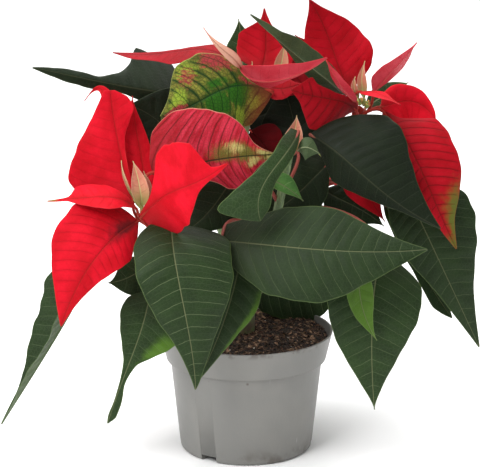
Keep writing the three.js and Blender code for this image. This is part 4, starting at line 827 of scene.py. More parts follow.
def spreading(row):
    """The rib of a blade that reaches out from a place and arches over."""
    angle = math.radians(row["azimuth"])
    start, arch, fall = np.array(row["from"], float), row["arch"], row["rise"]
    out = np.array([math.cos(angle), math.sin(angle), 0])
    heights = (0, arch + fall / 3, arch + 2 * fall / 3, fall)
    rib = [start + out * row["length"] * k / 3 + np.array([0, 0, h]) for k, h in enumerate(heights)]
    lean = row.get("lean", 0.25)
    return {"rib": rib, "half": (row["half"], row["half"]), "curl": (-10, -10), "wave": (1.5, 2),
            "face": (lean * out[0], lean * out[1], 1)}


def spots(table, u, v):
    """How far the colour has turned at each point, from soft patches along the blade."""
    turned = np.zeros_like(u)
    for place, across, long, wide, strength in table:
        patch = strength * np.exp(-((u - place) / long) ** 2 - ((v - across) / wide) ** 2)
        turned = np.maximum(turned, patch)
    return turned


def blade(row, build, seed):
    """A closed blade with its ribs, puckers and waves; returns points, faces and values."""
    chance = np.random.default_rng(seed)
    steps = np.diff(rib_line(row["rib"], np.linspace(0, 1, 30))[0], axis=0)
    length = np.sum(np.linalg.norm(steps, axis=1))
    rows = int(np.clip(length / build["row"], *build["rows"]))
    u = np.linspace(0, 1, rows + 1)
    centre, along = rib_line(row["rib"], u)
    widths = {side: np.maximum(half_width(row, u, side), LEAST_HALF_WIDTH) for side in (1, 2)}
    nick = chance.uniform(0, 6.28, 4)
    for side in (1, 2):
        ripple = np.sin(2 * np.pi * 3.2 * u + nick[side]) + 0.6 * np.sin(2 * np.pi * 7.5 * u + nick[side - 1])
        widths[side] = widths[side] * (1 + MARGIN_RIPPLE * ripple * np.sin(np.pi * u))
    widest = max(widths[1].max(), widths[2].max())
    places = LANE_PLACES if widest > 9 else LANE_PLACES[::2]
    v = np.array([-p for p in reversed(places[1:])] + list(places))
    side_way = unit(np.cross(along, np.array(row["face"], float)))
    up = np.cross(side_way, along)
    U, V = np.meshgrid(u, v, indexing="ij")
    left = V < 0
    margin = np.where(left, widths[1][:, None], widths[2][:, None])
    reach = np.abs(V) * margin
    half_most = np.where(left, widths[1].max(), widths[2].max())
    fold, curl = row.get("fold", (0, 0)), row.get("curl", (0, 0))
    middle = np.radians(np.where(left, fold[0], fold[1]) + np.where(left, curl[0], curl[1]) * np.abs(V) / 2)
    swing, count = row.get("wave", (0, 1))
    side = np.where(left, 1, 2)
    wave = swing * np.sin(np.pi * U) * V ** 2 * np.sin(2 * np.pi * count * U + side * WAVE_PHASE)
    pairs = length / build["spacing"]
    bend = build["arch"] * reach ** 2 / np.maximum(half_most, 1)
    phase = pairs * (U - (row.get("slant", build["slant"]) * reach + bend) / length)
    ridge_off = 1 - np.abs(np.cos(np.pi * phase)) ** 3
    within = np.clip(np.abs(V) / 0.12, 0, 1) * np.clip((1.05 - np.abs(V)) / 0.3, 0, 1)
    pucker = build["pucker"] * ridge_off * within * np.clip(reach / 9, 0.15, 1) * np.sin(np.pi * U) ** 0.5
    frill = np.sin(2 * np.pi * pairs * 0.5 * U + nick[3] + 2 * side)
    fine = 0.5 * build["pucker"] * V ** 4 * frill * np.sin(np.pi * U)
    groove = -0.35 * (1 - 0.6 * U) * np.exp(-(reach / 1.2) ** 2)
    lift = reach * np.sin(middle) + wave + pucker + fine + groove
    out = np.sign(V) * reach * np.cos(middle)
    sheet = centre[:, None] + side_way[:, None] * out[..., None] + up[:, None] * lift[..., None]
    thick = 0.5 * LEAF_THICKNESS * (1 - 0.45 * V ** 4)
    ridge = MIDRIB_DEPTH * (1 - 0.7 * U) * np.exp(-(reach / 1.1) ** 2) * min(1, widest / 12)
    top = sheet + up[:, None] * thick[..., None]
    below = sheet - up[:, None] * (thick + ridge)[..., None]
    lanes = len(v)
    points = np.concatenate([top.reshape(-1, 3), below.reshape(-1, 3)])
    T = np.arange((rows + 1) * lanes).reshape(rows + 1, lanes)
    B = T + (rows + 1) * lanes
    quads = [
        (T[:-1, :-1], T[:-1, 1:], T[1:, 1:], T[1:, :-1]), (B[:-1, :-1], B[1:, :-1], B[1:, 1:], B[:-1, 1:]),
        (T[:-1, 0], T[1:, 0], B[1:, 0], B[:-1, 0]), (T[:-1, -1], B[:-1, -1], B[1:, -1], T[1:, -1]),
        (T[0, :-1], B[0, :-1], B[0, 1:], T[0, 1:]), (T[-1, :-1], T[-1, 1:], B[-1, 1:], B[-1, :-1]),
    ]
    faces = np.concatenate([np.stack([corner.ravel() for corner in quad], axis=1) for quad in quads])
    both = lambda grid: np.concatenate([grid.ravel(), grid.ravel()])
    edge = np.abs(1 - np.abs(V)) * margin
    values = {
        "vein": both(phase), "rib": both(reach), "edge": both(edge), "along": both(U),
        "side": np.repeat([1.0, 0.0], (rows + 1) * lanes), "stalk": 0.0,
        "turn": both(spots(row.get("turned", ()), U, V)), "pale": both(spots(row.get("pale", ()), U, V)),
        "blush": both(spots(row.get("blush", ()), U, V)), "veined": row.get("veined", 1.0),
        "tint": row.get("tint", chance.uniform(-TINT_SPREAD, TINT_SPREAD)),
    }
    flat = np.stack([both(np.sign(V) * reach) / 10 + 30 + seed, both(U) * length / 10], axis=1)
    return {"points": points, "faces": [tuple(int(k) for k in face) for face in faces],
            "values": values, "flat": flat}


def stalk(row, foot, radius=STALK_RADIUS):
    """The blade's stalk, from inside the shoot to where it fades under the blade."""
    foot = np.array(foot, float)
    base, leaving = (part[0] for part in rib_line(row["rib"], [0.0]))
    reach = np.linalg.norm(base - foot)
    knee = np.array(row["knee"], float) if "knee" in row else base - 0.45 * reach * leaving
    t = np.linspace(0, 1, max(8, int(reach / 3.5)))[:, None]
    line = (1 - t) ** 2 * foot + 2 * t * (1 - t) * knee + t * t * base
    length = np.linalg.norm(np.array(row["rib"][3], float) - np.array(row["rib"][0], float))
    under = min(STALK_UNDER_BLADE, 0.2 * length)
    u = np.linspace(0, under / length, 6)[1:]
    centre, along = rib_line(row["rib"], u)
    up = np.cross(unit(np.cross(along, np.array(row["face"], float))), along)
    fade = np.linspace(0, 1, 6)[1:, None]
    line = np.concatenate([line, centre - up * (0.3 + 0.55 * radius * fade ** 0.5)])
    gone = np.concatenate([[0], np.cumsum(np.linalg.norm(np.diff(line, axis=0), axis=1))])
    swell = 1 + 0.55 * np.exp(-((gone - 3) / 3.2) ** 2)
    radii = radius * swell * np.clip((gone[-1] - gone) / 12, 0.18, 1) ** 0.5
    points, faces = tube(line, radii, STALK_SIDES)
    way = np.concatenate([np.repeat(gone / gone[-1], STALK_SIDES), [0, 1]])
    values = dict(ROUND_VALUES, stalk=np.clip((1.0 - way) * 6, 0, 1))
    return {"points": points, "faces": faces, "values": values, "flat": np.stack([way, way], axis=1)}


def grown_blade(row, foot, build, seed, radius=STALK_RADIUS):
    """A blade and its stalk, as the parts of one piece."""
    return [blade(row, build, seed), stalk(row, foot, radius)]


# what each look has unless it says otherwise: vein widths in vein spacings, rib and rim widths and
# the fade in mm, scales per centimetre, shares of the full colour, and where patches start and end
SKIN_COMMON = {
    "vein_width": 0.035, "vein_spread": 0.2, "vein_fade": 5.0, "net_scale": 3.6, "net_line": 0.09,
    "rib_width": 0.9, "halo": 0.3, "turn_scale": 1.3, "turn_edge": (0.3, 0.62), "blotch_and_shade_scale": 2.6,
    "blotch_and_shade_edge": (0.25, 0.65), "web": 0.2, "vein_share": 0.6, "rim_width": 0.75, "rim_share": 0.5,
    "rib_share": 0.85, "foot_reach": 0.16, "foot_share": 0.6, "rough": 0.36, "depth": 0.00035,
}
SKIN_VALUES = ("vein", "rib", "edge", "along", "side", "stalk", "turn", "pale", "tint", "blush", "veined")


def skin(name, look):
    """A leaf or bract skin: body colour, net, veins, midrib, rim, underside and turning."""
    look = dict(SKIN_COMMON, **look)
    leaf = Surface(name)
    clouds, mix = leaf.clouds, leaf.mix
    vein, rib, edge, along, upper, on_stalk, turn, pale, tint, blush, veined = (
        leaf.tone("ShaderNodeAttribute", output="Fac", attribute_name=key) for key in SKIN_VALUES)
    flat = leaf.tone("ShaderNodeUVMap", uv_map="flat")
    wide = look["vein_width"]
    phase = vein + clouds(flat, 0.9).times(0.26, -0.13)
    shifted = phase + 0.5
    nearest = abs(shifted.calc("FRACT", shifted) - 0.5)
    fade = edge.rise(0.0, look["vein_fade"]) * veined
    lateral = nearest.fall(0.3 * wide, wide) * fade
    between = abs(phase.calc("FRACT", phase) - 0.5).fall(0.1 * wide, 0.55 * wide)
    between = between * rib.rise(3.0, 9.0) * veined
    net, fine_net = (
        leaf.cells(flat, scale * look["net_scale"], feature="DISTANCE_TO_EDGE",
                   voronoi_dimensions="2D").fall(0.01, line)
        for scale, line in ((1.0, look["net_line"]), (2.7, 0.12)))
    web = (net * 0.75).most(fine_net * 0.4).most(between * 0.8)
    thin_rib = along.times(-0.6 * look["rib_width"], look["rib_width"])
    midrib = rib.calc("DIVIDE", rib, thin_rib).fall(0.5, 1.15) * veined.times(0.5, 0.5, clamp=True)
    marked = flat
    if "streaks" in look:
        marked = leaf.tone("ShaderNodeCombineXYZ", {0: vein * look["streaks"], 1: rib * 0.12})
    patches = clouds(marked, 0.55, 4)
    body = mix(patches.rise(0.35, 0.68), look["body"], look["body_two"])
    body = mix(clouds(flat, 5.0, 4).rise(0.4, 0.75) * 0.5, body, look["fleck"])
    near_vein = (nearest.fall(0.0, look["vein_spread"]) * fade).most(rib.fall(0.5, 5.0)) * look["halo"]
    body = mix(near_vein, body, look["near_vein"])
    # the patch colours: turned and pale are the skin's own colours; the third gives pink blotches on the top
    # mottled bract and a near-black patch of painted shade at the foot of one red bract
    for key, spread, scale, detail, rough, swing, reach in (
            ("turned", turn, look["turn_scale"], 5, 0.65, 1.1, look["turn_edge"]),
            ("pale", pale, 1.7, 5, 0.6, 0.9, (0.25, 0.7)),
            ("blush", blush, look["blotch_and_shade_scale"], 4, 0.65, 1.2, look["blotch_and_shade_edge"])):
        if key in look:
            broken = spread + clouds(marked, scale, detail, rough).times(swing, -swing / 2)
            body = mix(broken.rise(*reach) * spread.rise(0.02, 0.25), body, look[key])
    colour = mix(web * look["web"], body, look["vein"])
    colour = mix(lateral * look["vein_share"], colour, look["vein"])
    colour = mix(edge.fall(0.15, look["rim_width"]) * look["rim_share"], colour, look["rim"])
    colour = mix(midrib * look["rib_share"], colour, look["midrib"])
    # painted shade: on the green leaves the foot colour darkens the base third, where the leaves above shade
    # it; on the red bracts it is a darker red towards the foot and on the cream bracts a green foot
    colour = mix(along.fall(0.0, look["foot_reach"]) * look["foot_share"], colour, look["foot"])
    under = mix(patches.rise(0.35, 0.68), look["under"], look["under_two"])
    under = mix(lateral.most(web * 0.5) * 0.6, under, look["under_vein"])
    under = mix(midrib * 0.8, under, look["under_rib"])
    colour = mix(on_stalk, mix(upper, under, colour), look["stalk"])
    # painted light and shade: each piece's brightness is scaled by its random tone or by the value set for
    # it, which darkens shaded pieces deep in the plant and brightens a few lit ones
    colour = leaf.tone("ShaderNodeHueSaturation", {"Value": tint + 1.0, "Color": colour})
    lines = web.times(0.35, lateral.most(midrib) * 0.9)
    relief = clouds(leaf.where, 1400, 2).times(0.22, lines * upper.times(-2.0, 1.0))
    rough = clouds(flat, 3.0, 4).times(0.22, look["rough"])
    return leaf.finish(colour, rough, relief, look["depth"], **look["shader"])


# the dark foot colour spread over the base of each green leaf is painted shade
LEAF_LOOK = {
    "body": (0.01, 0.023, 0.0055, 1), "body_two": (0.0155, 0.035, 0.008, 1),
    "fleck": (0.014, 0.034, 0.007, 1),
    "near_vein": (0.018, 0.038, 0.01, 1), "vein": (0.12, 0.16, 0.075, 1), "midrib": (0.14, 0.155, 0.075, 1),
    "rim": (0.13, 0.19, 0.06, 1), "foot": (0.016, 0.02, 0.008, 1), "under": (0.055, 0.09, 0.035, 1),
    "under_two": (0.08, 0.125, 0.05, 1), "under_vein": (0.16, 0.2, 0.09, 1),
    "under_rib": (0.35, 0.4, 0.22, 1), "stalk": (0.26, 0.06, 0.045, 1),
    "turned": (0.06, 0.13, 0.012, 1), "pale": (0.2, 0.24, 0.03, 1), "turn_edge": (0.0, 0.8),
    "rib_width": 0.65, "vein_share": 0.55, "web": 0.17, "foot_reach": 0.32,
    "shader": {"Specular_IOR_Level": 0.14},
}
YOUNG_LOOK = dict(LEAF_LOOK, body=(0.03, 0.1, 0.018, 1), body_two=(0.06, 0.17, 0.03, 1),
                  fleck=(0.045, 0.13, 0.025, 1), near_vein=(0.1, 0.22, 0.05, 1), vein=(0.22, 0.32, 0.13, 1))
CREAM_LOOK = dict(LEAF_LOOK, body=(0.55, 0.24, 0.15, 1), body_two=(0.46, 0.13, 0.1, 1),
                  fleck=(0.52, 0.3, 0.17, 1), near_vein=(0.44, 0.17, 0.1, 1), vein=(0.4, 0.1, 0.08, 1),
                  midrib=(0.5, 0.45, 0.2, 1),
                  rim=(0.58, 0.42, 0.3, 1), foot=(0.24, 0.3, 0.08, 1), under=(0.45, 0.1, 0.08, 1),
                  under_two=(0.5, 0.17, 0.12, 1), under_vein=(0.45, 0.28, 0.17, 1),
                  under_rib=(0.38, 0.38, 0.14, 1),
                  stalk=(0.3, 0.32, 0.1, 1), foot_share=0.8, foot_reach=0.5)
leaf_skin = skin("poinsettia_leaf", LEAF_LOOK)
young_skin = skin("young_leaf", YOUNG_LOOK)
cream_skin = skin("cream_bract", CREAM_LOOK)
LEAF_FINISHES = {
    "leaf_centre_bright": (young_skin, "leaf_young"),
    "leaf_centre_pale": (young_skin, "leaf_young"),
    "leaf_centre_pink": (cream_skin, "young_cream"),
}


def add_blades(name, parts, material, node):
    """Places blades and their stalks as the one piece that replaces a solid."""
    piece = place(name, joined(name, parts))
    piece.data.materials.append(material)
    mount(piece, node)


for number, (name, row) in enumerate(LEAVES.items()):
    surface, slot = LEAF_FINISHES.get(name, (leaf_skin, "leaf_green"))
    parts = grown_blade(row, row["foot"], LEAF_BUILD, 11 + number)
    add_blades("blade_" + name[5:], parts, surface, name)
for number, (name, row) in enumerate(BACK_LEAVES.items()):
    parts = grown_blade(spreading(row), row["foot"], LEAF_BUILD, 61 + number)
    add_blades("blade_" + name[5:], parts, leaf_skin, name)

# ---------------------------------------------------------------------------------------------
# The red bracts. Coloured leaves that stand round each flower head, smoother than the green
# ones, paler underneath, each on its own short stalk from the swollen shoot tip.
# ---------------------------------------------------------------------------------------------
BRACT_BUILD = {"spacing": 7.2, "slant": 0.34, "arch": 0.25, "pucker": 0.25, "row": 1.4, "rows": (20, 76)}
BRACT_STALK = 1.1
BRACTS = {
    "left": [
        {"drop": 14, "knee": [-82, -48, 185], "face": [0.25, -0.95, 0.1], "curl": [-6, -10],
            "wave": [1.5, 2], "outline": [[0, 1.5, 1.5], [0.07, 24, 1.5], [0.2, 36, 3], [0.34, 40, 3],
              [0.52, 31, 5], [0.68, 20, 11], [0.8, 13, 15], [0.91, 8, 12], [1, 5, 3]], "fold": [-4, 14],
            "rib": [[-81, -50, 200], [-88, -44, 227], [-94, -37, 255], [-97, -32, 279]], "veined": 0.4},
        {"drop": 12, "half": [15, 8.5], "widest": 0.4, "face": [0.1, -0.97, 0.15], "curl": [-6, -16],
            "rib": [[-72, -44, 197], [-74, -34, 221], [-79, -27, 248], [-82, -22, 273]], "veined": 0.3,
            "tint": -0.08},
        {"drop": 14, "knee": [-76, -61, 187], "face": [0, -0.45, 0.9], "outline": [[0, 1.3, 1.3],
              [0.2, 8, 9], [0.4, 13, 13], [0.6, 9, 14], [0.74, 4, 13], [0.79, 2, 3], [0.9, 1.2, 1.5],
              [1, 0.5, 0.5]], "rib": [[-78, -60, 199], [-95, -68, 209], [-117, -70, 209], [-141, -62, 205]],
            "veined": 0.5, "turned": [[1.0, 0, 0.09, 2, 1.0]]},
        {"drop": 14, "face": [0, -0.97, 0.25], "curl": [-10, -10], "wave": [1.5, 2],
              "outline": [[0, 1.5, 1.5], [0.08, 9, 15], [0.2, 15, 27], [0.35, 20, 36], [0.5, 17, 36],
              [0.68, 11, 26], [0.85, 5, 12], [1, 0.5, 0.5]],
            "rib": [[-77, -62, 190], [-95, -80, 181], [-114, -90, 158], [-131, -88, 120]], "veined": 0.6,
            # painted shade: a near-black patch at this bract's foot, where the head and the bracts over it
            # shade it
            "blush": [[0.12, 0, 0.18, 0.25, 1.4]]},
        {"drop": 15, "knee": [-67, -66, 182], "face": [0.05, -0.95, 0.3], "curl": [-10, -14],
              "outline": [[0, 2.2, 19], [0.05, 3.4, 24.5], [0.14, 6, 27], [0.26, 15, 25.7],
              [0.38, 29, 25.5], [0.48, 32.5, 22.5], [0.6, 32.2, 15.2], [0.72, 30.8, 6.6], [0.86, 26.5, 3],
              [0.9, 5.2, 2.6], [1, 0.5, 0.5]],
            "rib": [[-75, -64, 193], [-54, -90, 217], [-38, -96, 225], [-13, -88, 238]], "veined": 0.1,
            "tint": 0.1},
        {"drop": 15, "half": [6, 8], "widest": 0.4, "face": [0.2, -0.95, 0.2], "curl": [10, 10],
            "rib": [[-75, -36, 199], [-92, -12, 220], [-101, 4, 263], [-119, 10, 263]], "veined": 0.3},
    ],
    "top": [
        {"drop": 9, "outline": [[0, 3, 8], [0.06, 7, 17], [0.14, 11, 19], [0.24, 15, 15.5], [0.34, 18, 9.5],
              [0.45, 20, 6], [0.6, 19, 5], [0.75, 10, 5.5], [0.88, 6.5, 4.5], [1, 0.5, 0.5]],
            "face": [0, -0.22, 0.97], "curl": [-8, -8],
            "rib": [[-7, -8, 291], [-31, -6, 304], [-59, -4, 301], [-97, 0, 301]], "veined": 0.5,
            "tint": -0.5},
        {"drop": 9, "face": [0, -1, 0.1], "curl": [6, 6], "outline": [[0, 17, 13], [0.12, 20, 19.5],
              [0.3, 21, 20.5], [0.45, 21, 16.5], [0.58, 20, 8.5], [0.66, 16, 6], [0.74, 8.5, 4],
              [0.81, 3.3, 2.8], [0.9, 1.6, 1.5], [1, 0.5, 0.5]],
            "rib": [[10, -1, 287], [14, 8, 301], [14, 12, 317], [13, 14, 331]], "veined": 0.5,
            "tint": -0.3},
        {"drop": 7, "outline": [[0, 4, 3], [0.07, 9, 9], [0.14, 13.5, 14.5], [0.24, 13.8, 18],
              [0.35, 10, 19.5], [0.46, 6.3, 18.4], [0.6, 3.1, 15], [0.78, 1.6, 8], [1, 0.5, 0.5]],
            "face": [0.1, 0.65, 0.75], "curl": [8, 8], "knee": [10, -22, 293],
            "rib": [[-3, -33, 294], [13, -48, 289], [36, -60, 296], [56, -62, 308]], "veined": 0.6},
        {"drop": 8, "half": [3.8, 4.2], "widest": 0.35, "face": [0, -0.97, 0.25], "curl": [30, 30],
            "knee": [8, -22, 290],
            "rib": [[-3, -31, 293], [-10, -42, 304.5], [-19, -52, 314], [-30, -56, 328]], "veined": 0.3,
            "pale": [[0.5, 0, 0.8, 2, 1.0]]},
        {"drop": 16, "half": [16, 20], "widest": 0.4, "face": [0, -0.97, 0.25], "curl": [-8, -8],
            "rib": [[3, -6, 244], [10, -8, 238], [16, -10, 230], [19, -8, 218]], "veined": 0.6,
            "tint": -0.85},
        {"drop": 12, "half": [15, 15], "widest": 0.42, "face": [0, -0.9, 0.4], "curl": [-8, -8],
            "rib": [[10, 0, 274], [25, 6, 281], [41, 9, 284], [58, 8, 281]], "tint": -0.6},
        {"drop": 13, "half": [14, 9], "widest": 0.4, "face": [0, -0.8, 0.6], "curl": [-8, -8],
            "rib": [[14, -9, 278], [22, -14, 277], [30, -17, 278], [41, -15, 281]], "tint": -0.5},
    ],
    "right": [
        {"drop": 9, "outline": [[0, 0.5, 0.5], [0.1, 11.5, 15], [0.22, 20, 24.5], [0.36, 23, 28],
              [0.5, 21.5, 25], [0.64, 17.5, 19.5], [0.78, 12, 11], [0.9, 5.5, 4], [1, 0.5, 0.5]],
            "face": [-0.1, -0.98, 0.1], "curl": [-8, -10], "wave": [1.5, 2],
            "rib": [[76, 14, 269], [67, 20, 290], [58, 22, 314], [46, 16, 337]], "veined": 0.5,
            "tint": -0.3},
        {"drop": 11, "half": [16, 12], "widest": 0.4, "face": [-0.1, -0.98, 0.1],
            "rib": [[74, 20, 267], [62, 30, 280], [49, 32, 295], [36, 28, 309]], "veined": 0.5,
            "tint": -0.2},
        {"drop": 12, "knee": [94, 10, 254], "half": [17, 18], "widest": 0.4, "face": [-0.6, 0.5, 0.6],
            "curl": [8, 8], "rib": [[93, 9, 270], [102, 7, 282], [112, 2, 294], [123, -4, 309]],
            "veined": 0.5},
        {"drop": 11, "outline": [[0, 0.5, 0.5], [0.18, 10, 12], [0.42, 13.5, 17], [0.65, 11, 20],
              [0.85, 6, 18], [0.95, 3, 10], [1, 0.5, 0.5]], "face": [0, -0.97, 0.25], "curl": [-20, -10],
            "rib": [[99, 14, 258], [111, 20, 260], [125, 22, 260], [140, 18, 248]], "veined": 0.4,
            "tint": 0.15},
        {"drop": 15, "face": [0.15, -0.93, 0.33], "curl": [-16, -10], "wave": [1.5, 2],
              "outline": [[0, 1.5, 1.5], [0.1, 6, 8], [0.17, 19, 12], [0.23, 30, 12], [0.36, 32, 11],
              [0.5, 31.5, 10], [0.64, 27.5, 9], [0.76, 19, 7], [0.86, 8.5, 5], [1, 0.5, 0.5]],
            "rib": [[100, -6, 258], [118, -26, 236], [134, -34, 203], [153, -32, 162]], "veined": 1.4,
            "tint": -0.35, "turned": [[0.84, -0.9, 0.16, 0.7, 1.0], [1.0, 0, 0.09, 2, 1.0]]},
        {"drop": 13, "face": [0, -0.97, 0.25], "curl": [-6, 0], "outline": [[0, 1.5, 1.5], [0.15, 10, 5],
              [0.35, 16, 5], [0.55, 22, 7], [0.68, 24, 9], [0.78, 15, 13], [0.87, 6, 9], [1, 0.5, 0.5]],
            "rib": [[80, -5, 259], [68, -16, 268], [51, -25, 273], [32, -30, 279]], "veined": 1.4,
            "tint": -0.5},
        {"drop": 9, "half": [8, 8], "widest": 0.42, "face": [0.3, 0, 0.95], "curl": [10, 10],
            "rib": [[79, -9, 267], [71, -29, 278], [63, -45, 292], [56, -56, 305]], "veined": 0.4},
        {"drop": 10, "half": [8, 8], "widest": 0.36, "face": [0, -0.1, 1], "curl": [-10, -10],
            "rib": [[83, -10, 274], [90, -22, 276], [97, -36, 276], [109, -48, 272]], "veined": 0.4},
        {"drop": 27, "half": [13, 14], "widest": 0.6, "face": [0, -0.95, 0.3], "curl": [-8, -8],
            "rib": [[77, 2, 230], [80, 6, 217], [87, 6, 199], [103, 0, 174]], "veined": 0.4, "tint": -0.3},
    ],
}
# azimuth, length, rise and drop below the head of each bract on the two rear heads
BACK_BRACTS = {
    "back_left": [[150, 68, -8, 12], [192, 52, -2, 15], [108, 76, -14, 14], [66, 74, -14, 11],
        [24, 52, -6, 16], [128, 48, 22, 8], [52, 46, 22, 9], [88, 44, 28, 8]],
    "back_right": [[8, 54, -8, 13], [50, 72, -10, 12], [92, 70, -12, 15], [128, 48, -8, 11],
        [-38, 46, -14, 16], [70, 46, 24, 8], [24, 42, 22, 9], [116, 44, 20, 9]],
}
BACK_BRACT_START = (9.0, 3.0)
BACK_BRACT_ARCH = 5.0
BACK_BRACT_SLENDERNESS = 0.26
RED_LOOK = {
    "body": (0.45, 0.002, 0.0085, 1), "body_two": (0.62, 0.0045, 0.018, 1), "fleck": (0.52, 0.003, 0.012, 1),
    "near_vein": (0.26, 0.0015, 0.004, 1), "vein": (0.18, 0.002, 0.004, 1), "midrib": (0.22, 0.012, 0.008, 1),
    "rim": (0.5, 0.03, 0.03, 1), "foot": (0.22, 0.012, 0.012, 1), "under": (0.46, 0.025, 0.04, 1),
    "under_two": (0.52, 0.05, 0.07, 1), "under_vein": (0.36, 0.014, 0.022, 1),
    "under_rib": (0.44, 0.12, 0.08, 1), "stalk": (0.3, 0.03, 0.02, 1), "turned": (0.15, 0.17, 0.025, 1),
    # the near-black patch colour on the next line is painted shade for the foot of one bract
    "pale": (0.75, 0.42, 0.3, 1), "blush": (0.06, 0.006, 0.008, 1), "turn_edge": (0.1, 0.85),
    "blotch_and_shade_edge": (-0.2, 1.3), "vein_width": 0.05, "vein_spread": 0.3, "vein_share": 0.3, "web": 0.12,
    "rim_share": 0.35, "rib_width": 0.75, "rib_share": 0.6, "foot_reach": 0.3, "foot_share": 0.55,
    "rough": 0.42, "depth": 0.0003, "net_scale": 4.4, "shader": {"Specular_IOR_Level": 0.08},
}
red_skin = skin("red_bract", RED_LOOK)


def shoot_core(shoot):
    """The shoot's swollen tip, which carries the bracts' stalks."""
    distances = np.linspace(-CORE_LENGTH, 0, 24)
    radii = smooth_between([d for d, _ in CORE_RADII], [r for _, r in CORE_RADII], distances)
    points, faces = tube([head_place(shoot, -d) for d in distances], radii, 24)
    return {"points": points, "faces": faces, "values": dict(ROUND_VALUES, stalk=0.8),
            "flat": points[:, :2] / 10}


def back_bract(shoot, azimuth, length, rise_to, drop):
    """A bract of a rear head, which reaches straight out and arches over."""
    angle = math.radians(azimuth)
    stand, lift = BACK_BRACT_START
    start = head_place(shoot, drop) + np.array([stand * math.cos(angle), stand * math.sin(angle), lift])
    row = {"from": start, "azimuth": azimuth, "length": length - stand, "rise": rise_to,
           "arch": BACK_BRACT_ARCH, "half": BACK_BRACT_SLENDERNESS * length}
    return dict(spreading(row), drop=drop)


for name, rows in BACK_BRACTS.items():
    BRACTS[name] = [back_bract(name, *row) for row in rows]
for number, (name, rows) in enumerate(BRACTS.items()):
    parts = [shoot_core(name)]
    for place_in_head, row in enumerate(rows):
        foot = head_place(name, row["drop"])
        parts += grown_blade(row, foot, BRACT_BUILD, 101 + 20 * number + place_in_head, BRACT_STALK)
    add_blades("red_bracts_" + name, parts, red_skin, "bracts_" + name)

# ---------------------------------------------------------------------------------------------
# The two mottled bracts. They are half way between leaf and bract: panels of pink-red between
# dark green veins on one, bright green and yellow with pink patches on the other.
# ---------------------------------------------------------------------------------------------
MOTTLED = {
    "left": {"drop": 17, "face": [0, -0.99, 0.12], "curl": [-14, -10], "wave": [1.5, 2],
          "outline": [[0, 10, 2], [0.04, 28, 5], [0.2, 39, 10], [0.36, 38, 15], [0.5, 33, 22],
          [0.63, 28, 23], [0.73, 20, 18], [0.81, 9, 11], [0.9, 4, 5], [1, 0.5, 0.5]],
        "rib": [[-67, -46, 222], [-29, -66, 234.5], [-4, -70, 239], [21, -62, 239]], "veined": 1.2,
        "turned": [[0.52, -0.1, 0.18, 0.25, 0.8], [0.72, -0.12, 0.16, 0.4, 0.9], [0.97, 0, 0.12, 1.2, 1.0]],
          "pale": [[0.62, -0.25, 0.14, 0.2, 0.6], [0.8, 0.3, 0.1, 0.35, 0.7], [0.9, -0.4, 0.1, 0.5, 0.8],
          [0.95, 0.5, 0.08, 0.5, 0.7]]},
    "top": {"drop": 18, "knee": [11, -14, 268], "face": [0, -0.98, 0.2], "curl": [-12, -10],
          "outline": [[0, 8, 1], [0.03, 21, 1], [0.07, 28, 1], [0.18, 30.4, 3.5], [0.28, 31, 14],
          [0.39, 30, 25], [0.55, 25, 31], [0.7, 19, 30.5], [0.82, 13, 24], [0.91, 8, 12], [1, 1.5, 1.5]],
        "rib": [[19, -20, 275.5], [-9, -32, 282], [-31, -41, 274], [-61, -42, 261]], "veined": 1.2,
        "turned": [[0.55, -0.3, 0.14, 0.35, 1.2], [0.3, -0.2, 0.14, 0.35, 1.1], [0.5, 0.2, 0.2, 0.2, 0.6]],
          "pale": [[0.3, -0.75, 0.12, 0.3, 1.0], [0.85, 0.35, 0.1, 0.4, 0.8],
          [0.68, 0.75, 0.14, 0.35, 0.65], [0.1, -0.4, 0.1, 0.3, 0.6]],
          "blush": [[0.9, -0.05, 0.1, 0.35, 1.1], [0.42, 0.8, 0.14, 0.3, 0.8], [0.7, 0.65, 0.12, 0.3, 0.6],
          [0.2, 0.5, 0.1, 0.4, 0.6]]},
}
MOTTLED_BUILD = dict(BRACT_BUILD, spacing=8.8, slant=0.1, arch=0.6)
MOTTLED_LOOKS = {
    "left": dict(
        RED_LOOK, body=(0.3, 0.005, 0.014, 1), body_two=(0.54, 0.03, 0.06, 1), fleck=(0.42, 0.02, 0.035, 1),
        near_vein=(0.14, 0.004, 0.006, 1), vein=(0.04, 0.014, 0.008, 1), midrib=(0.015, 0.02, 0.008, 1),
        turned=(0.11, 0.1, 0.018, 1), pale=(0.42, 0.36, 0.12, 1), rim=(0.45, 0.28, 0.17, 1), vein_width=0.035,
        vein_share=0.55, halo=0.5, rib_width=0.8, rib_share=0.9, web=0.45, rim_share=0.6, vein_fade=3.0,
        turn_scale=2.4, turn_edge=(0.2, 0.85), vein_spread=0.2, streaks=3.2, net_line=0.16),
    "top": dict(
        RED_LOOK, body=(0.05, 0.07, 0.009, 1), body_two=(0.24, 0.24, 0.035, 1), fleck=(0.14, 0.08, 0.025, 1),
        near_vein=(0.014, 0.045, 0.009, 1), vein=(0.008, 0.028, 0.007, 1), midrib=(0.01, 0.04, 0.009, 1),
        turned=(0.025, 0.11, 0.008, 1), pale=(0.24, 0.34, 0.03, 1), blush=(0.32, 0.035, 0.04, 1),
        rim=(0.34, 0.38, 0.13, 1), vein_width=0.05, vein_share=0.6, halo=0.75, rib_width=0.9, rib_share=0.85,
        web=0.7, rim_share=0.4, vein_fade=3.0, turn_scale=1.8, turn_edge=(0.3, 0.62),
        blotch_and_shade_edge=(0.25, 0.65), vein_spread=0.3, streaks=1.5, net_line=0.2, net_scale=3.6),
}
for number, (name, row) in enumerate(MOTTLED.items()):
    parts = grown_blade(row, head_place(name, row["drop"]), MOTTLED_BUILD, 201 + number)
    surface = skin("mottled_bract_" + name, MOTTLED_LOOKS[name])
    add_blades("mottled_bract_" + name, parts, surface, "bract_mottled_" + name)

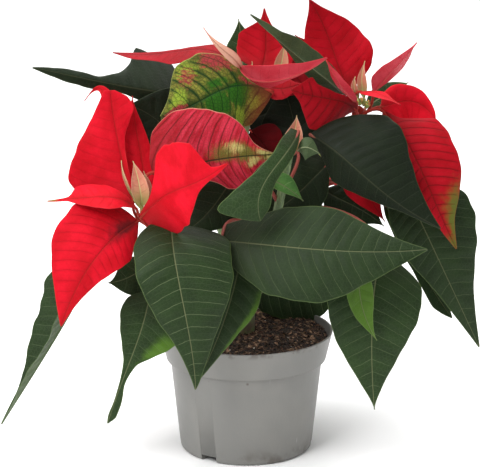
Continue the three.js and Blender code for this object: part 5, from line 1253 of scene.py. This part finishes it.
# ---------------------------------------------------------------------------------------------
# The centres. Each head ends in a small dome of cyathia, the true flowers: green cups a few
# millimetres across with a yellow nectar lip and red stamen tips, among young rolled bracts.
# ---------------------------------------------------------------------------------------------
YOUNG_BUILD = {"spacing": 5.0, "slant": 0.4, "arch": 0.25, "pucker": 0.15, "row": 0.8, "rows": (18, 40)}
YOUNG_BRACTS = {
    "left": [
        {"half": [6.5, 7], "rib": [[-74, -59, 200], [-75, -64, 213], [-77, -64, 224], [-80, -62, 234]]},
        {"half": [5, 5], "rib": [[-71, -57, 200], [-71, -57, 209], [-71, -56, 217], [-73, -55, 225]]},
        {"half": [1.3, 1.3], "rib": [[-79, -56, 203], [-84, -62, 216], [-87, -64, 226], [-88, -65, 235]]},
    ],
    "top": [
        {"half": [5.5, 5.5], "rib": [[22, -8, 285], [25, -8, 293], [26.5, -8, 301], [28, -6, 309]]},
        {"half": [1, 1], "rib": [[2, -6, 284], [3, -5, 288], [4, -4, 292], [4, -4, 295]]},
    ],
    "right": [
        {"half": [4, 4], "rib": [[86, -1, 267], [84, -4, 278], [84, -4, 286], [86, -2, 295]]},
        {"half": [3, 3], "rib": [[82, -1, 267], [79, -5, 273], [78, -6, 279], [79, -5, 284]]},
    ],
    "back_left": [
        {"half": [4, 4], "rib": [[-37, 76, 246], [-41, 74, 255], [-42, 74, 263], [-41, 75, 270]]},
        {"half": [3, 3], "rib": [[-32, 82, 246], [-30, 86, 255], [-29, 87, 262], [-30, 87, 268]]},
    ],
    "back_right": [
        {"half": [4, 4], "rib": [[55, 72, 211], [51, 70, 220], [50, 70, 228], [51, 71, 235]]},
        {"half": [3, 3], "rib": [[61, 77, 211], [64, 80, 220], [65, 81, 226], [64, 81, 232]]},
    ],
}
YOUNG_RISE = 2.2
YOUNG_STALK = 0.8
CUP_SECTION = [(0, 0, 0), (0.9, 0.1, 0.3), (1.5, 1.3, 0.4), (1.45, 2.8, 0.3), (0.9, 3.6, 0.2), (0, 3.3, 0)]
LIP_SECTION = [(0, 0, 0), (0.75, 0.05, 0.2), (0.85, 0.55, 0.2), (0.5, 0.75, 0.1), (0, 0.45, 0)]
STAMEN_SECTION = [(0, 0, 0), (0.16, 0.1, 0), (0.14, 1.0, 0), (0.34, 1.25, 0), (0.2, 1.6, 0), (0, 1.7, 0)]
SMALL_PARTS = (("cup", CUP_SECTION, 14), ("lip", LIP_SECTION, 10), ("stamen", STAMEN_SECTION, 6))
# how many cups stand in each ring, its radius and its height on the head
CYATHIA_RINGS = [(1, 0.0, 2.8), (3, 2.6, 1.6), (4, 3.6, 0.2)]
CUP_LEAN = 0.12
# height along the cup and distance from its axis
LIP_SEAT = (2.2, 1.35)
STAMEN_SEAT = (3.1, 0.45)
STAMENS = 5
PART_SIZES = {"Smallest": 0.85, "Largest": 1.1}


def cyathium_skin(name, low, high, rough):
    cup = Surface(name)
    grain = cup.clouds(cup.where, 900, 3)
    return cup.finish(cup.mix(grain.rise(0.38, 0.66), low, high), grain.times(0.2, rough), grain, 0.0002)


def head_tree(name, material, seed):
    """Sets a kind of small part at every point it is given, along the point's direction."""
    def seat(tree, given):
        way = Tone(tree, "GeometryNodeInputNamedAttribute", {"Name": "way"}, data_type="FLOAT_VECTOR")
        turn = Tone(tree, "FunctionNodeAlignRotationToVector", {"Vector": way}, axis="Z")
        part = Tone(tree, "GeometryNodeObjectInfo", {"Object": given["Part"]}, "Geometry")
        return {"Points": given["Seats"], "Instance": part, "Rotation": turn}

    return growing_tree(name, {"Seats": "Geometry", "Part": "Object"}, material, seed, seat)


def seats(name, spots_and_ways):
    """A mesh of loose points, each with the direction that a part grows in."""
    mesh = mesh_of(name, [spot for spot, _ in spots_and_ways], smooth=False)
    ways = np.array([way for _, way in spots_and_ways], np.float32)
    mesh.attributes.new("way", "FLOAT_VECTOR", "POINT").data.foreach_set("vector", ways.ravel())
    return mesh


def head_seats(shoot):
    """Where the cyathia stand on a head, and where their lips and stamens sit on them."""
    axis = unit(np.array(SHOOTS[shoot]["axis"], float))
    side = unit(np.cross(axis, (0, 1, 0)))
    up = np.cross(axis, side)
    cups, lips, stamens = [], [], []
    for count, ring, height in CYATHIA_RINGS:
        for k in range(count):
            angle = 2 * math.pi * k / count + 0.6 + ring
            out = math.cos(angle) * side + math.sin(angle) * up
            way = unit(axis + CUP_LEAN * ring * out)
            seat = head_place(shoot) + (0.3 + height) * axis + ring * out
            cups.append((seat, way))
            across = unit(np.cross(way, (0.2, 1, 0.1)))
            lips.append((seat + LIP_SEAT[0] * way + LIP_SEAT[1] * across, unit(across + 0.5 * way)))
            for j in range(STAMENS):
                turn = 2 * math.pi * j / STAMENS
                away = math.cos(turn) * across + math.sin(turn) * np.cross(way, across)
                spot = seat + STAMEN_SEAT[0] * way + STAMEN_SEAT[1] * away
                stamens.append((spot, unit(way + STAMEN_SEAT[1] * away)))
    return cups, lips, stamens


small_parts = {}
for label, section, facets in SMALL_PARTS:
    small_parts[label] = bpy.data.objects.new(label, turned_mesh(label, eased(section, 2), facets))
part_skins = (
    cyathium_skin("cyathium_green", (0.16, 0.25, 0.04, 1), (0.4, 0.45, 0.12, 1), 0.4),
    cyathium_skin("nectar_lip_yellow", (0.6, 0.42, 0.04, 1), (0.8, 0.62, 0.1, 1), 0.25),
    cyathium_skin("stamen_red", (0.5, 0.05, 0.02, 1), (0.7, 0.35, 0.05, 1), 0.5),
)
for number, (name, rows) in enumerate(YOUNG_BRACTS.items()):
    foot = head_place(name, -YOUNG_RISE)
    parts = []
    for k, row in enumerate(rows):
        row = dict({"face": (0, -0.97, 0.25), "curl": (50, 50)}, **row)
        parts += grown_blade(row, foot, YOUNG_BUILD, 301 + 10 * number + k, YOUNG_STALK)
    add_blades("young_bracts_" + name, parts, cream_skin, "centre_" + name)
    for label, where_seated, surface in zip(small_parts, head_seats(name), part_skins):
        tree = head_tree("%s_seating_%s" % (label, name), surface, 7 * number + len(label))
        values = dict(PART_SIZES, Part=small_parts[label])
        piece = grown("%ss_%s" % (label, name), seats(label + "_seats", where_seated), tree, values)
        mount(piece)
for part in small_parts.values():
    bpy.data.objects.remove(part)

# ---------------------------------------------------------------------------------------------
# The studio. A plain pale floor, a soft overhead light, a large soft light from the upper left
# and a weak one from the right, and a long lens a little above the plant.
# ---------------------------------------------------------------------------------------------
FLOOR_HALF = 6000.0
FLOOR_WHITE = (0.92, 0.92, 0.92, 1.0)
FLOOR_SHADE = (0.9, 0.9, 0.9, 1.0)
SKY_WHITE = (1.0, 1.0, 1.0, 1.0)
SKY_STRENGTH = 0.55
CAMERA_PLACE = Vector((0.0, -1.5, 0.557))
CAMERA_AIM = Vector((-0.00465, 0.0, 0.165))
CAMERA_LENS = 156.6
# place, aim, width, watts
SOFT_LIGHTS = {
    "key_light": ((-1.2, -1.3, 1.9), (0, 0, 0.18), 1.4, 62.0),
    "top_light": ((0.1, 0.9, 2.3), (0, 0.6, 0), 2.2, 75.0),
    "side_light": ((1.6, -0.9, 0.9), (0, 0, 0.15), 0.9, 1.0),
}


def studio_floor():
    half = FLOOR_HALF
    corners = [(-half, -half, 0), (half, -half, 0), (half, half, 0), (-half, half, 0)]
    mesh = mesh_of("studio_floor", corners, [(0, 1, 2, 3)], smooth=False)
    pale = Surface("pale_floor")
    mesh.materials.append(pale.finish(pale.mix(pale.clouds(pale.where, 3), FLOOR_WHITE, FLOOR_SHADE), 0.9))
    return place("studio_floor", mesh)


floor = studio_floor()
sky = bpy.data.worlds.new("studio_sky")
sky.use_nodes = True
sky.node_tree.nodes["Background"].inputs["Color"].default_value = SKY_WHITE
sky.node_tree.nodes["Background"].inputs["Strength"].default_value = SKY_STRENGTH
bpy.context.scene.world = sky
for name, (where, aim, width, watts) in SOFT_LIGHTS.items():
    lamp = bpy.data.lights.new(name, "AREA")
    lamp.size = width
    lamp.energy = watts
    light = place(name, lamp)
    light.location = where
    light.rotation_euler = (Vector(aim) - Vector(where)).to_track_quat("-Z", "Y").to_euler()
lens = bpy.data.cameras.new("studio_camera")
lens.lens = CAMERA_LENS
camera = place("studio_camera", lens)
camera.location = CAMERA_PLACE
camera.rotation_euler = (CAMERA_AIM - CAMERA_PLACE).to_track_quat("-Z", "Y").to_euler()
bpy.context.scene.camera = camera
bpy.context.scene.view_settings.view_transform = "Standard"
